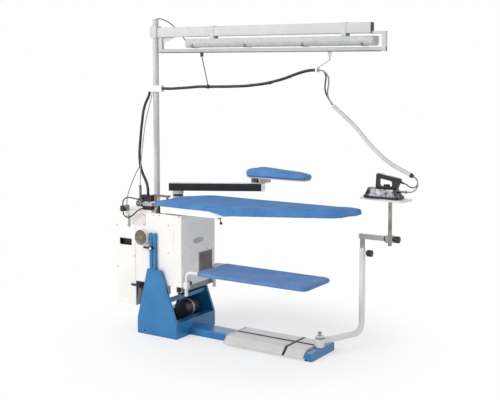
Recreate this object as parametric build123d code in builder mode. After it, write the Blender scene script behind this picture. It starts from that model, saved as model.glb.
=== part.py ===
import os
from math import cos, pi, radians, sin, tan

from build123d import *

# Vacuum ironing table with boiler, in millimetres. The board points along +X, the operator stands at -Y,
# +Z is up, and the origin is on the floor in the middle of the stand.

# Shared sheet metal and fits
sheet = 3
running_gap = 0.05
seat_gap = 0.3
cut_over = 2
corner_radius = 6

# Stand uprights
upright_foot_width = 308
upright_top_width = 105
upright_top_offset = -19.5
upright_shoulder = 98
upright_height = 422
upright_sheet = 4
stand_depth = 414
upright_lip = 12
upright_lip_sheet = 4.5
levelling_hole_radius = 6
levelling_hole_x = -95
levelling_hole_height = 22

# Cross boxes, floor plate and tie bar of the stand
cross_box_width = 56
floor_plate_sheet = 4
tie_bar_x = 78
tie_bar_width = 24
tie_bar_height = 26
tie_bar_level = 233

# Guide channels and their blocks
channel_x = -33.5
channel_width = 45
channel_depth = 21
channel_bottom = 112
channel_top = 649
slot_width = 9
slot_bottom = 439
slot_top = 624
block_height = 32
block_upper_level = 556
block_lower_level = 366

# Lock stud and lever
stud_radius = 4
stud_cap_radius = 7
stud_cap_length = 3
lever_hub_radius = 11
lever_hub_length = 17
lever_arm_length = 62
lever_arm_radius = 7
lever_arm_thin = 5

# Foot rail, end foot and spindle of the iron rest
rail_width = 128
rail_height = 45
end_foot_width = 48
end_foot_height = 48
end_foot_span = 260
foot_cap_length = 8
hub_x = 1046
spindle_radius = 10
spindle_flange_radius = 22
spindle_flange = 3
spindle_top = 142

# Pedals and their hinges
pedal_ridge_height = 56
pedal_ridge_gap = 1.5
pedal_top_depth = 105
pedal_reach = 150
pedal_lip_height = 14
pedal_rod_height = 51
pedal_rod_inset = 6
pedal_rod_radius = 3
pedal_knuckle_radius = 5
pedal_long_start = 470
pedal_short_length = 115
pedal_split = 18
pedal_end_clearance = 14
pedal_rib_gap = 1
pedal_rib_proud = 2
pedal_rib_depth = 8
pedal_end_rib = 7

# Iron rest: hub, swing arm and column tube
hub_radius = 25
hub_height = 51
hub_nut_radius = 27
hub_nut_height = 15
hub_nut_notches = 9
hub_nut_notch_radius = 3
arm_level = 84
column_x = 1168
column_y = 301
column_top = 603
column_radius = 18
column_bore_radius = 15
arm_bend_radius = 60
column_boss_radius = 9
column_boss_length = 8
column_knob_level = 573
knob_screw_radius = 4
knob_radius = 20
knob_length = 30
knob_neck_radius = 11
knob_neck_length = 8
knob_lobes = 6
knob_lobe_radius = 5
knob_edge = 1
inner_tube_bottom = 330
inner_tube_wall = 2.5

# Iron rest: cross arm, clamp, post and plate
cross_arm_side = 28
cross_arm_level = 673
cross_arm_back = 18
clamp_x = 1345
clamp_length = 46
clamp_washer = 8
clamp_washer_radius = 18
clamp_width = 36
clamp_height = 40
clamp_edge = 3
post_radius = 11.5
post_wall = 2
post_bottom = 632
post_flange_radius = 22
post_flange = 4
rest_plate_length = 296
rest_plate_width = 129
rest_plate_depth = 12
rest_plate_top = 907
rest_plate_angle = -10
rest_plate_corner = 10
rest_plate_x = 1292
rest_plate_y = 352

# Iron
iron_nose_x = 1158
iron_y = 340
iron_length = 238
iron_width = 114
sole_thickness = 14
iron_shoulder_share = 0.45
iron_rear_corner = 16
dome_inset = 6
dome_height = 46
dome_top_inset = 26
dome_edge = 7
handle_front_x = 1240
handle_rear_x = 1398
handle_front_top = 1056
handle_rear_top = 1028
handle_foot_front_x = 1236
handle_foot_rear_x = 1372
handle_width = 30
handle_grip = 27
handle_front_strut = 20
handle_rear_strut = 30
handle_foot = 10
handle_corner = 12
handle_foot_corner = 2
handle_edge = 5
button_length = 24
button_width = 13
button_height = 9
button_sink = 5
button_travel = 3
button_place_share = 0.22
button_corner = 3
dial_x = 1303
dial_radius = 19
dial_height = 12
dial_pin_radius = 3
dial_pin_length = 6
dial_edge = 1.5
fitting_radius = 6
fitting_length = 52
fitting_nut_radius = 9
fitting_nut_length = 10
relief_radius = 6
relief_length = 30

# Hose end cap beside the iron
end_cap_length = 20
end_cap_radius = 15
end_cap_small_radius = 10
end_cap_spread = 4.4
end_cap_run_out = 15

# Main cabinet
cabinet_left = -187
cabinet_right = 175
cabinet_depth = 360
cabinet_bottom = 326
cabinet_top = 771
cabinet_wall = 2.5
cabinet_corner = 4
band_bottom = 718
band_top = 753
band_far = 55
band_proud = 1.5
access_left = 4
access_right = 119
access_bottom = 527
access_top = 712
access_proud = 2
junction_left = -208
junction_right = -103
junction_bottom = 686
junction_top = 763
junction_proud = 3
junction_screw_inset = 9
oval_y = 0
oval_z = 595
oval_length = 106
oval_height = 36
oval_proud = 1.5
vent_near = 2
vent_far = 146
vent_bottom = 388
vent_top = 516
vent_frame = 7
vent_proud = 3
vent_slats = 10
vent_slat_sheet = 2
vent_slat_depth = 11
vent_slat_angle = 40
screw_radius = 3.5
screw_height = 2
wall_screws = [(-38, 758), (7, 762), (160, 764)]
access_screws = [(79, 705), (76, 533)]
boiler_screws = [(-335, 670), (-195, 483), (-335, 404)]
side_screws = [(-85, 559), (103, 554), (85, 530)]
elbow_x = -20
elbow_foot_radius = 19
elbow_top_radius = 7
elbow_height = 44
socket_side = 30
socket_bottom = 318
socket_height = 40
bar_left = -187
bar_right = -59
bar_y = 8
bar_bottom = 846
bar_height = 12
bar_depth = 24
bar_post_radius = 8
bar_post_inset = 16

# Cabinet floor and carriage beam
carriage_beam_x = 153
carriage_beam_width = 38
carriage_beam_height = 36

# Boiler cabinet, sight glass, drain valve, lid and tank
boiler_left = -343
boiler_bottom = 165
handle_recess_x = -266
handle_recess_z = 571
handle_recess_width = 88
handle_recess_height = 34
handle_recess_depth = 20
handle_recess_wall = 2
handle_recess_rim = 4
handle_recess_proud = 1.5
sight_x = -234
sight_radius = 5
sight_bottom = 672
sight_top = 748
sight_end = 12
sight_end_radius = 7
sight_stand = 9
drain_x = -150
drain_y = -158
drain_z = 300
drain_side = 40
drain_edge = 5
drain_stem_radius = 6
drain_stem_length = 20
drain_lever_length = 69
drain_lever_width = 12
drain_lever_hub_radius = 11
drain_lever_sheet = 6
drain_lever_gap = 8
drain_pipe_radius = 4
drain_pipe_bottom = 204
drain_nut_radius = 9
drain_nut_height = 12
nipple_radius = 9
tank_radius = 62
tank_length = 250
tank_y = -20
tank_level = 330
tank_dome = 24
tank_saddle_width = 20
tank_saddle_half = 48
tank_saddle_inset = 50
hose_saddle_x = -260
hose_saddle_width = 26
hose_saddle_height = 34
hose_saddle_front = 9
hose_saddle_back = 50

# Exhaust drum and grille
exhaust_x = -112
exhaust_z = 617
exhaust_radius = 50
exhaust_depth = 40
exhaust_wall = 2
grille_wire = 2.4
grille_rings = 5
grille_ring_step = 7
grille_spokes = 8
grille_hub_radius = 6
grille_setback = 2

# Vacuum fan below the cabinet
fan_x = 16
fan_z = 125
fan_front = 20
motor_length = 65
motor_radius = 54
motor_band_length = 12
motor_band_radius = 57
motor_bore_depth = 24
volute_length = 50
volute_radius = 56
volute_wall = 3
volute_inlet_radius = 26
neck_width = 38
shaft_radius = 5
impeller_radius = 44
impeller_length = 30
impeller_blades = 9
impeller_blade_sheet = 3
impeller_blade_angle = 25
impeller_disc = 3
impeller_hub_radius = 14
impeller_gap = 6
shaft_length = 50
hanger_width = 30
hanger_sheet = 6
hanger_inset = 20

# Valve stack on the cabinet
valve_y = -150
valve_left = -138
valve_right = -66
coil_width = 34
coil_edge = 4
valve_foot_height = 14
low_coil_height = 25
manifold_height = 21
stem_radius = 10
stem_height = 7
high_coil_height = 40
high_coil_left = -147
valve_nipple_radius = 6
regulator_left = -186
regulator_radius = 22
regulator_disc = 5
regulator_discs = 4
regulator_pitch = 11
regulator_core_radius = 12
gland_x = -167
gland_stem_radius = 6
gland_nut_radius = 11
gland_nut_height = 7
gland_top = 851
gland_coil_radius = 9
gland_wire_radius = 1.1
gland_pitch = 8.5
gland_turns = 10
gland_arcs = 4
gland_wire_sides = 6
coil_samples = 24

# Board pad
board_left = -20
board_front = -215
board_bend_x = 500
board_taper_x = 1082
board_taper_y = 62
board_nose_x = 1236
board_nose_y = 212
board_nose_back_x = 1150
board_nose_back_y = 250
board_back_left_x = 120
board_back_left_y = 235
board_left_y = 80
board_corner_radii = [25, 500, 200, 40, 60, 120, 100]
board_top = 848
board_bottom = 800
board_bottom_left = 824
board_bottom_nose = 816
board_left_bottom_end = 400
board_nose_bottom_start = 1090
board_pad_thickness = 18
board_skirt = 14
board_edge = 12

# Board pan, perforated plate and collar
pan_left = 27
pan_inset = 20
pan_bottom = 783
pan_step_x = 440
pan_rise_x = 545
pan_rise = 803
pan_nose_x = 1120
plate_sheet = 4
plate_inset = 15
plate_hole_radius = 12
plate_hole_pitch = 140
plate_hole_columns = 6
plate_hole_rows = 2
plate_hole_x = 480
plate_hole_y = 60
collar_left = 30
collar_right = 168
collar_span = 300

# Air lever below the board
air_x = 446
air_y = -160
air_hub_radius = 12
air_hub_height = 8
air_pin_radius = 5
air_boss_height = 6
air_rod_radius = 3.5
air_rod_reach = 38
air_rod_bend = 9
air_ball_out = 18
air_ball_drop = 20
air_ball_radius = 9
air_lever_angle = -45

# Swivel arm and sleeve board
swivel_x = -85
swivel_y = 135
swivel_foot_radius = 44
swivel_foot_height = 12
swivel_neck_radius = 36
swivel_groove = 3
swivel_groove_height = 14
swivel_groove_level = 842
swivel_pin_radius = 12
swivel_pin_height = 40
swivel_bottom = 877
swivel_height = 49
swivel_width = 56
swivel_tail = 58
swivel_length = 566
swivel_angle = 29.5
swivel_corner = 4
sleeve_pivot_inset = 48
sleeve_bracket_height = 36
sleeve_bracket_length = 70
sleeve_bracket_near = 24
sleeve_bracket_far = 100
sleeve_bracket_sheet = 6
sleeve_pin_radius = 8
sleeve_pin_height = 20
sleeve_angle = -5
sleeve_offset = 56
sleeve_back = 82
sleeve_length = 448
sleeve_width = 200
sleeve_nose_width = 112
sleeve_board_sheet = 8
sleeve_board_inset = 8
sleeve_pad_height = 50
sleeve_pad_edge = 16
sleeve_corner_radius = 34

# Garment tray
tray_tube_radius = 11
tray_leg_x = 190
tray_half_width = 150
tray_level = 418
tray_leg_bottom = 270
tray_bend_radius = 34
tray_end_x = 1028
tray_corner_radius = 40
tray_cloth_start = 283
tray_cloth_end = 1043
tray_cloth_half_width = 165
tray_cloth_sheet = 3.5
tray_skirt = 24
tray_cloth_edge = 5
tray_knob_level = 343
tray_knob_radius = 12
tray_knob_length = 20
tray_knob_neck_radius = 7
tray_knob_neck_length = 12

# Mast, its clamps and the hose block on it
mast_x = -276
mast_y = 155
mast_radius = 20
mast_wall = 3
mast_bottom = 240
mast_top = 1992
mast_cap = 3
mast_clamp_levels = [430, 730]
mast_clamp_height = 36
mast_clamp_width = 64
mast_clamp_front = 26
mast_block_left = -322
mast_block_right = -204
mast_block_bottom = 1517
mast_block_height = 42
mast_block_front = 118
mast_block_edge = 4

# Overhead frame: beam, hose rail and lamp brackets
beam_clamp_half = 27
beam_clamp_depth = 60
beam_clamp_bottom = 1868
beam_clamp_top = 1942
frame_y = 160
beam_right = 1268
beam_bottom = 1870
beam_height = 63
beam_width = 46
beam_wall = 3
beam_cap = 14
beam_cable_hole_x = -120
rail_left = -243
rail_right = 1370
rail_bottom = 1768
rail_side = 26
rail_slot = 8
rail_wall = 4
rail_leg_width = 24
rail_return_bottom = 1866
rail_return_height = 16
gusset_right = -116
gusset_drop = 38
gusset_sheet = 5
lamp_bracket_places = [187, 1112]
lamp_bracket_width = 30
lamp_bracket_sheet = 3

# Lamp
lamp_left = -6
lamp_right = 1305
lamp_bottom = 1801
lamp_height = 55
lamp_depth = 88
lamp_split = 1829
lamp_end = 26
lamp_wall = 2.5
lamp_radius = 20
lamp_tray_radius = 8
lamp_tube_radius = 8
lamp_tube_level = 1822
lamp_clip_places = [46, 444, 849, 1237]
lamp_clip_width = 16
lamp_clip_proud = 2

# Hose trolleys and hangers
trolley_near_x = 93
trolley_far_x = 1011
trolley_length = 22
trolley_head_height = 12
trolley_head_width = 16
trolley_neck = 6
trolley_drop = 24
hanger_radius = 3
tie_wall = 3
tie_length = 18
near_tie_x = 140
near_tie_z = 1554
strap_width = 14
strap_sheet = 4
clip_start = 925
clip_end = 935
clip_width = 40
clip_height = 26
clip_z = 1661

# Cords: diameters
bundle_diameter = 18
strand_diameter = 9
sleeve_diameter = 24.5
small_hose_diameter = 8
iron_cable_diameter = 7
control_cable_diameter = 6

# Cords: routes
drop_route = [
    (-104, -150, 878), (-104, -150, 916), (-124, -138, 952), (-164, -118, 990), (-212, -92, 1042),
    (-248, -58, 1105), (-275, -18, 1180), (-302, 32, 1290), (-324, 78, 1385), (-328, 106, 1440),
    (-318, 124, 1478), (-311, 131, 1503), (-311, 131, 1527),
]
control_route = [
    (-167, -150, 851), (-167, -150, 938), (-174, -141, 985), (-195, -110, 1057), (-221, -62, 1150),
    (-260, 14, 1300), (-282, 78, 1400), (-289, 115, 1462), (-289, 128, 1495), (-289, 128, 1517),
]
span_route = [
    (-204, 130, 1538), (-150, 130, 1538), (-99, 140, 1540), (-18, 152, 1546), (50, 158, 1552),
    (110, 160, 1554), (190, 160, 1554), (264, 160, 1556), (384, 161, 1559), (495, 160, 1568),
    (604, 159, 1584), (710, 160, 1611), (800, 160, 1642), (872, 160, 1661), (925, 160, 1661),
]
strand_a_route = [
    (935, 166, 1661), (957, 166, 1661), (975, 169, 1648), (983, 172, 1622), (974, 178, 1588),
    (966, 186, 1552), (973, 193, 1516), (990, 200, 1485), (1009, 206, 1458),
]
strand_b_route = [
    (935, 154, 1661), (960, 154, 1661), (985, 157, 1649), (1002, 162, 1625), (1003, 168, 1592),
    (994, 175, 1560), (985, 182, 1527), (990, 189, 1493), (1012, 197, 1456),
]
sleeve_upper_route = [(1014, 202, 1452), (1080, 222, 1392), (1150, 245, 1321), (1178, 255, 1283.5)]
sleeve_middle_route = [(1178, 255, 1283.5), (1206, 265, 1246), (1268, 287, 1178), (1304, 298, 1146)]
sleeve_lower_route = [(1304, 298, 1146), (1340, 309, 1114), (1400, 326, 1083), (1452, 338, 1055)]
iron_cable_bends = [
    (1489, 349, 1028), (1493, 350, 1011), (1489, 349, 994), (1477, 347, 982), (1460, 344, 979),
    (1443, 342, 986), (1427, 340, 998), (1410, 340, 1003),
]
steam_hose_bends = [
    (1495, 339, 1024.5), (1499, 338, 1007.5), (1497, 337, 988.5), (1487, 337, 970.5), (1469, 338, 958),
    (1450, 340, 952), (1430, 340, 952),
]
valve_loop_route = [
    (-133, -171, 855), (-133, -189, 855), (-142, -205, 855.5), (-158, -213, 857), (-182, -213, 861),
    (-209, -214, 862), (-234, -213, 857), (-253, -213, 843), (-260, -213, 822), (-260, -213, 764),
    (-252, -213, 746), (-234, -213, 735), (-210, -214, 734), (-184, -213, 746), (-160, -214, 765),
    (-143, -213.6, 779.3), (-131, -204.6, 789), (-124, -189, 795), (-124, -171, 795),
]


def middle(low, high):
    return (low + high) / 2


def span_box(x, y, z, mode=Mode.ADD):
    """Adds a block that fills the given spans to the piece being built."""
    with Locations((middle(*x), middle(*y), middle(*z))):
        Box(abs(x[1] - x[0]), abs(y[1] - y[0]), abs(z[1] - z[0]), mode=mode)


def round_bar(start, end, radius, mode=Mode.ADD):
    """Adds a round bar from start to end to the piece being built."""
    start, end = Vector(*start), Vector(*end)
    run = end - start
    with Locations(Plane(origin=(start + end) * 0.5, z_dir=run)):
        Cylinder(radius, run.length, mode=mode)


def folded(plane, points, radius, thickness):
    """Gives the section of a folded sheet along its middle line."""
    with BuildSketch(plane) as section:
        with BuildLine():
            FilletPolyline(*points, radius=radius)
        trace(line_width=thickness)
    return section.sketch


def raised(sketch, level, height, mode=Mode.ADD):
    """Extrudes a plan drawn at floor level, from the given level, in the piece being built."""
    extrude(to_extrude=sketch.moved(Location((0, 0, level))), amount=height, mode=mode)


def save(piece, name):
    """Labels a finished piece and writes its file."""
    piece.label = name
    export_step(piece, f"parts/{name}.step")


os.makedirs("parts", exist_ok=True)

half_foot = upright_foot_width / 2
upright_outer = stand_depth / 2
upright_inner = upright_outer - upright_sheet
top_left = upright_top_offset - upright_top_width / 2
top_right = upright_top_offset + upright_top_width / 2
upright_outline = [
    (-half_foot, 0), (half_foot, 0), (half_foot, upright_shoulder), (top_right, upright_height),
    (top_left, upright_height), (-half_foot, upright_shoulder),
]
right_lip = [
    (half_foot, upright_shoulder), (top_right, upright_height),
    (top_right - upright_lip_sheet, upright_height), (half_foot - upright_lip_sheet, upright_shoulder),
]
left_lip = [
    (-half_foot, upright_shoulder), (top_left, upright_height),
    (top_left + upright_lip_sheet, upright_height), (upright_lip_sheet - half_foot, upright_shoulder),
]
channel_middle = -upright_inner + channel_depth / 2

# Stand: two lipped uprights, two cross boxes, a floor plate, a tie bar and two slotted channels, welded
with BuildPart() as stand:
    with BuildSketch(Plane.XZ.offset(upright_inner)):
        with BuildLine():
            Polyline(*upright_outline, close=True)
        make_face()
        with Locations((levelling_hole_x, levelling_hole_height)):
            Circle(levelling_hole_radius, mode=Mode.SUBTRACT)
    extrude(amount=upright_sheet)
    with BuildSketch(Plane.XZ.offset(upright_inner)):
        with BuildLine():
            Polyline(*right_lip, close=True)
        make_face()
        with BuildLine():
            Polyline(*left_lip, close=True)
        make_face()
    extrude(amount=-upright_lip)
    with BuildSketch(Plane.XY.offset(channel_bottom)):
        with Locations((channel_x, channel_middle)):
            Rectangle(channel_width, channel_depth)
        with Locations((channel_x, channel_middle + sheet)):
            Rectangle(channel_width - 2 * sheet, channel_depth, mode=Mode.SUBTRACT)
    extrude(amount=channel_top - channel_bottom)
    with BuildSketch(Plane.XZ.offset(upright_inner + cut_over)):
        with Locations((channel_x, middle(slot_bottom, slot_top))):
            SlotOverall(slot_top - slot_bottom, slot_width, rotation=90)
    extrude(amount=-(sheet + 2 * cut_over), mode=Mode.SUBTRACT)
    mirror(about=Plane.XZ)
    for side in (-1, 1):
        outer, inner = side * half_foot, side * (half_foot - cross_box_width)
        span_box((inner, outer), (-upright_inner, upright_inner), (floor_plate_sheet, upright_shoulder))
        span_box((inner + side * sheet, outer - side * sheet), (-upright_inner, upright_inner),
                 (floor_plate_sheet, upright_shoulder - sheet), mode=Mode.SUBTRACT)
    span_box((-half_foot, half_foot), (-upright_inner, upright_inner), (0, floor_plate_sheet))
    with BuildSketch(Plane.XZ.offset(-upright_inner)):
        with Locations((tie_bar_x, tie_bar_level)):
            RectangleRounded(tie_bar_width, tie_bar_height, sheet)
            Rectangle(tie_bar_width - 2 * sheet, tie_bar_height - 2 * sheet, mode=Mode.SUBTRACT)
    extrude(amount=2 * upright_inner)
save(stand.part, "stand")

block_front = -upright_inner + sheet + seat_gap
block_half = channel_width / 2 - sheet - seat_gap
lever_seat = -upright_inner - seat_gap
lever_face = lever_seat - lever_hub_length
lever_middle = middle(lever_seat, lever_face)
stud_head = lever_face - seat_gap

# Lock lever on the stud of the cabinet
with BuildPart() as lock_lever:
    round_bar((channel_x, lever_seat, block_upper_level), (channel_x, lever_face, block_upper_level),
              lever_hub_radius)
    with BuildSketch(Plane(origin=(channel_x, lever_middle, block_upper_level), x_dir=(0, 1, 0),
                           z_dir=(-1, 0, 0))):
        SlotOverall(2 * lever_arm_radius, 2 * lever_arm_thin, rotation=90)
    extrude(amount=lever_arm_length)
    fillet(lock_lever.faces().sort_by(Axis.X)[0].edges(), lever_arm_thin / 2)
    round_bar((channel_x, lever_seat + cut_over, block_upper_level),
              (channel_x, lever_face - cut_over, block_upper_level), stud_radius + running_gap,
              mode=Mode.SUBTRACT)
save(lock_lever.part, "lock_lever")

rail_end = hub_x - end_foot_width / 2
rail_middle_y = rail_width / 2 - sheet / 2
foot_near, foot_far = hub_x - end_foot_width / 2, hub_x + end_foot_width / 2
pedal_short_end = foot_near - pedal_end_clearance
pedal_short_start = pedal_short_end - pedal_short_length
pedal_long_end = pedal_short_start - pedal_split
half_end_foot = end_foot_span / 2
rail_line = [
    (-rail_middle_y, 0), (-rail_middle_y, rail_height - sheet / 2), (rail_middle_y, rail_height - sheet / 2),
    (rail_middle_y, 0),
]
end_foot_line = [
    (foot_near + sheet / 2, 0), (foot_near + sheet / 2, end_foot_height - sheet / 2),
    (foot_far - sheet / 2, end_foot_height - sheet / 2), (foot_far - sheet / 2, 0),
]

# Foot rail with the end foot welded across it and the spindle of the iron rest
with BuildPart() as foot_rail:
    extrude(to_extrude=folded(Plane.YZ.offset(half_foot), rail_line, corner_radius, sheet),
            amount=rail_end - half_foot)
    extrude(to_extrude=folded(Plane.XZ.offset(-half_end_foot), end_foot_line, corner_radius, sheet),
            amount=end_foot_span)
    for side in (-1, 1):
        span_box((foot_near, foot_far), (side * half_end_foot, side * (half_end_foot + foot_cap_length)),
                 (0, end_foot_height))
    round_bar((hub_x, 0, end_foot_height), (hub_x, 0, end_foot_height + spindle_flange),
              spindle_flange_radius)
    round_bar((hub_x, 0, end_foot_height), (hub_x, 0, spindle_top), spindle_radius)
    chamfer(foot_rail.faces().sort_by(Axis.Z)[-1].edges(), cut_over)
save(foot_rail.part, "foot_rail")

rib_top = pedal_ridge_height + pedal_rib_proud
rib_reach = pedal_reach + pedal_rib_proud
rib_foot = pedal_lip_height - 2 * pedal_rib_proud
rib_half = [
    (pedal_top_depth, rib_top), (rib_reach, pedal_lip_height),
    (rib_reach - 2 * pedal_rib_depth, rib_foot), (pedal_top_depth - pedal_rib_depth, rail_height),
]
rib_outline = rib_half + [(-y, z) for y, z in reversed(rib_half)]
rib_spans = [
    (pedal_long_start - pedal_rib_gap - pedal_end_rib, pedal_long_start - pedal_rib_gap),
    (pedal_long_end + pedal_rib_gap, pedal_short_start - pedal_rib_gap),
    (pedal_short_end + pedal_rib_gap, pedal_short_end + pedal_rib_gap + pedal_end_rib),
]

# Pedal hinges: three ribs across the rail with the two hinge rods through them
with BuildPart() as pedal_hinges:
    for start, end in rib_spans:
        with BuildSketch(Plane.YZ.offset(start)):
            with BuildLine():
                Polyline(*rib_outline, close=True)
            make_face()
        extrude(amount=end - start)
    for side in (-1, 1):
        round_bar((rib_spans[0][0], side * pedal_rod_inset, pedal_rod_height),
                  (rib_spans[-1][1], side * pedal_rod_inset, pedal_rod_height), pedal_rod_radius)
save(pedal_hinges.part, "pedal_hinges")


def pedal(name, start, end, plane=None):
    """Makes a pedal with its rolled knuckle, behind the rail or mirrored to its front."""
    line = [
        (pedal_ridge_gap, pedal_ridge_height - sheet / 2), (pedal_top_depth, pedal_ridge_height - sheet / 2),
        (pedal_reach, pedal_lip_height),
    ]
    with BuildPart() as tread:
        extrude(to_extrude=folded(Plane.YZ.offset(start), line, corner_radius, sheet), amount=end - start)
        round_bar((start, pedal_rod_inset, pedal_rod_height), (end, pedal_rod_inset, pedal_rod_height),
                  pedal_knuckle_radius)
        round_bar((start - cut_over, pedal_rod_inset, pedal_rod_height),
                  (end + cut_over, pedal_rod_inset, pedal_rod_height), pedal_rod_radius + running_gap,
                  mode=Mode.SUBTRACT)
    save(mirror(tread.part, about=plane) if plane else tread.part, name)


pedal("pedal_front_long", pedal_long_start, pedal_long_end, Plane.XZ)
pedal("pedal_front_short", pedal_short_start, pedal_short_end, Plane.XZ)
pedal("pedal_rear_long", pedal_long_start, pedal_long_end)
pedal("pedal_rear_short", pedal_short_start, pedal_short_end)

hub_bottom = end_foot_height + spindle_flange + seat_gap
nut_bottom = hub_bottom + hub_height + seat_gap

# Hub nut with finger notches
with BuildPart() as hub_nut:
    with BuildSketch(Plane.XY.offset(nut_bottom)):
        with Locations((hub_x, 0)):
            Circle(hub_nut_radius)
            Circle(spindle_radius + running_gap, mode=Mode.SUBTRACT)
            with PolarLocations(hub_nut_radius + hub_nut_notch_radius / 2, hub_nut_notches):
                Circle(hub_nut_notch_radius, mode=Mode.SUBTRACT)
    extrude(amount=hub_nut_height)
save(hub_nut.part, "rest_hub_nut")

boss_end = column_x + column_radius + column_boss_length

# Swing arm: hub, one bent tube and the boss of the height knob
with BuildPart() as swing_arm:
    with BuildLine() as arm_path:
        FilletPolyline((hub_x, 0, arm_level), (column_x, column_y, arm_level),
                       (column_x, column_y, column_top), radius=arm_bend_radius)
    with BuildSketch(Plane(origin=arm_path.line @ 0, z_dir=arm_path.line % 0)):
        Circle(column_radius)
        Circle(column_bore_radius, mode=Mode.SUBTRACT)
    sweep()
    round_bar((hub_x, 0, hub_bottom), (hub_x, 0, hub_bottom + hub_height), hub_radius)
    round_bar((hub_x, 0, hub_bottom - cut_over), (hub_x, 0, hub_bottom + hub_height + cut_over),
              spindle_radius + running_gap, mode=Mode.SUBTRACT)
    round_bar((column_x + middle(column_bore_radius, column_radius), column_y, column_knob_level),
              (boss_end, column_y, column_knob_level), column_boss_radius)
    round_bar((column_x, column_y, column_knob_level), (boss_end + cut_over, column_y, column_knob_level),
              knob_screw_radius + running_gap, mode=Mode.SUBTRACT)
save(swing_arm.part, "rest_swing_arm")


def hand_knob(name, seat, direction, reach, radius, length, neck_radius, neck_length):
    """Makes a lobed knob with its neck and screw, the neck standing on the seat."""
    with BuildPart() as knob:
        with BuildSketch():
            Circle(knob_screw_radius)
        extrude(amount=-reach)
        with BuildSketch():
            Circle(neck_radius)
        extrude(amount=neck_length)
        with BuildSketch(Plane.XY.offset(neck_length)):
            Circle(radius)
            with PolarLocations(radius + knob_lobe_radius / 2, knob_lobes):
                Circle(knob_lobe_radius, mode=Mode.SUBTRACT)
        extrude(amount=length)
        chamfer(knob.faces().sort_by(Axis.Z)[-1].edges(), knob_edge)
    save(knob.part.moved(Plane(origin=seat, z_dir=direction).location), name)


height_seat = boss_end + seat_gap
hand_knob("rest_height_knob", (height_seat, column_y, column_knob_level), (1, 0, 0),
          height_seat - column_x - column_bore_radius - seat_gap, knob_radius, knob_length,
          knob_neck_radius, knob_neck_length)

half_arm = cross_arm_side / 2
clamp_near, clamp_far = clamp_x - clamp_length / 2, clamp_x + clamp_length / 2
arm_near, arm_far = column_x - cross_arm_back, clamp_near - clamp_washer
inner_radius = column_bore_radius - running_gap

# Inner tube, cross arm and post clamp, welded
with BuildPart() as cross_arm:
    span_box((arm_near, arm_far), (column_y - half_arm, column_y + half_arm),
             (cross_arm_level - half_arm, cross_arm_level + half_arm))
    fillet(cross_arm.edges().filter_by(Axis.X), cut_over)
    span_box((arm_near + sheet, arm_far - sheet), (column_y - half_arm + sheet, column_y + half_arm - sheet),
             (cross_arm_level - half_arm + sheet, cross_arm_level + half_arm - sheet), mode=Mode.SUBTRACT)
    round_bar((column_x, column_y, inner_tube_bottom), (column_x, column_y, cross_arm_level - half_arm),
              inner_radius)
    round_bar((column_x, column_y, inner_tube_bottom - cut_over), (column_x, column_y, cross_arm_level),
              inner_radius - inner_tube_wall, mode=Mode.SUBTRACT)
    round_bar((arm_far, column_y, cross_arm_level), (clamp_near, column_y, cross_arm_level),
              clamp_washer_radius)
    span_box((clamp_near, clamp_far), (column_y - clamp_width / 2, column_y + clamp_width / 2),
             (cross_arm_level - clamp_height / 2, cross_arm_level + clamp_height / 2))
    chamfer(cross_arm.faces().sort_by(Axis.X)[-1].edges(), clamp_edge)
    round_bar((clamp_x, column_y, cross_arm_level - clamp_height),
              (clamp_x, column_y, cross_arm_level + clamp_height), post_radius + running_gap,
              mode=Mode.SUBTRACT)
    round_bar((clamp_x, column_y, cross_arm_level), (clamp_far + cut_over, column_y, cross_arm_level),
              knob_screw_radius + running_gap, mode=Mode.SUBTRACT)
save(cross_arm.part, "rest_cross_arm")

clamp_seat = clamp_far + seat_gap
hand_knob("rest_clamp_knob", (clamp_seat, column_y, cross_arm_level), (1, 0, 0),
          clamp_seat - clamp_x - post_radius - seat_gap, knob_radius, knob_length, knob_neck_radius,
          knob_neck_length)

rest_plane = Plane(origin=(rest_plate_x, rest_plate_y, rest_plate_top - rest_plate_depth),
                   x_dir=(cos(radians(rest_plate_angle)), sin(radians(rest_plate_angle)), 0))
post_top = rest_plate_top - sheet

# Post with the rimmed plate the iron stands on
with BuildPart() as rest_post:
    with BuildSketch(rest_plane):
        RectangleRounded(rest_plate_length, rest_plate_width, rest_plate_corner)
    extrude(amount=rest_plate_depth)
    with BuildSketch(rest_plane):
        RectangleRounded(rest_plate_length - 2 * sheet, rest_plate_width - 2 * sheet,
                         rest_plate_corner - sheet)
    extrude(amount=rest_plate_depth - sheet, mode=Mode.SUBTRACT)
    round_bar((clamp_x, column_y, post_bottom), (clamp_x, column_y, post_top), post_radius)
    round_bar((clamp_x, column_y, post_top - post_flange), (clamp_x, column_y, post_top),
              post_flange_radius)
    round_bar((clamp_x, column_y, post_bottom - cut_over), (clamp_x, column_y, post_top - post_flange),
              post_radius - post_wall, mode=Mode.SUBTRACT)
save(rest_post.part, "rest_post")

iron_level = rest_plate_top + seat_gap
dome_level = iron_level + sole_thickness
handle_level = dome_level + dome_height


def iron_plan(inset, level):
    """Gives the plan of the iron set in from its edge, at a level."""
    half = iron_width / 2 - inset
    shoulder, rear = iron_shoulder_share * iron_length, iron_length - inset
    with BuildSketch(Plane(origin=(iron_nose_x, iron_y, level))) as plan:
        with BuildLine():
            Spline((inset, 0), (shoulder, half), tangents=[(0, 1), (1, 0)])
            Polyline((shoulder, half), (rear, half), (rear, -half), (shoulder, -half))
            Spline((shoulder, -half), (inset, 0), tangents=[(-1, 0), (0, 1)])
        make_face()
        fillet(plan.vertices().group_by(Axis.X)[-1], iron_rear_corner)
    return plan.sketch


# Sole plate of the iron
with BuildPart() as iron_sole:
    extrude(to_extrude=iron_plan(0, iron_level), amount=sole_thickness)
save(iron_sole.part, "iron_sole")

fitting_end = Vector(*steam_hose_bends[-1])
fitting_start = (fitting_end.X - fitting_length, iron_y, fitting_end.Z)

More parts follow.
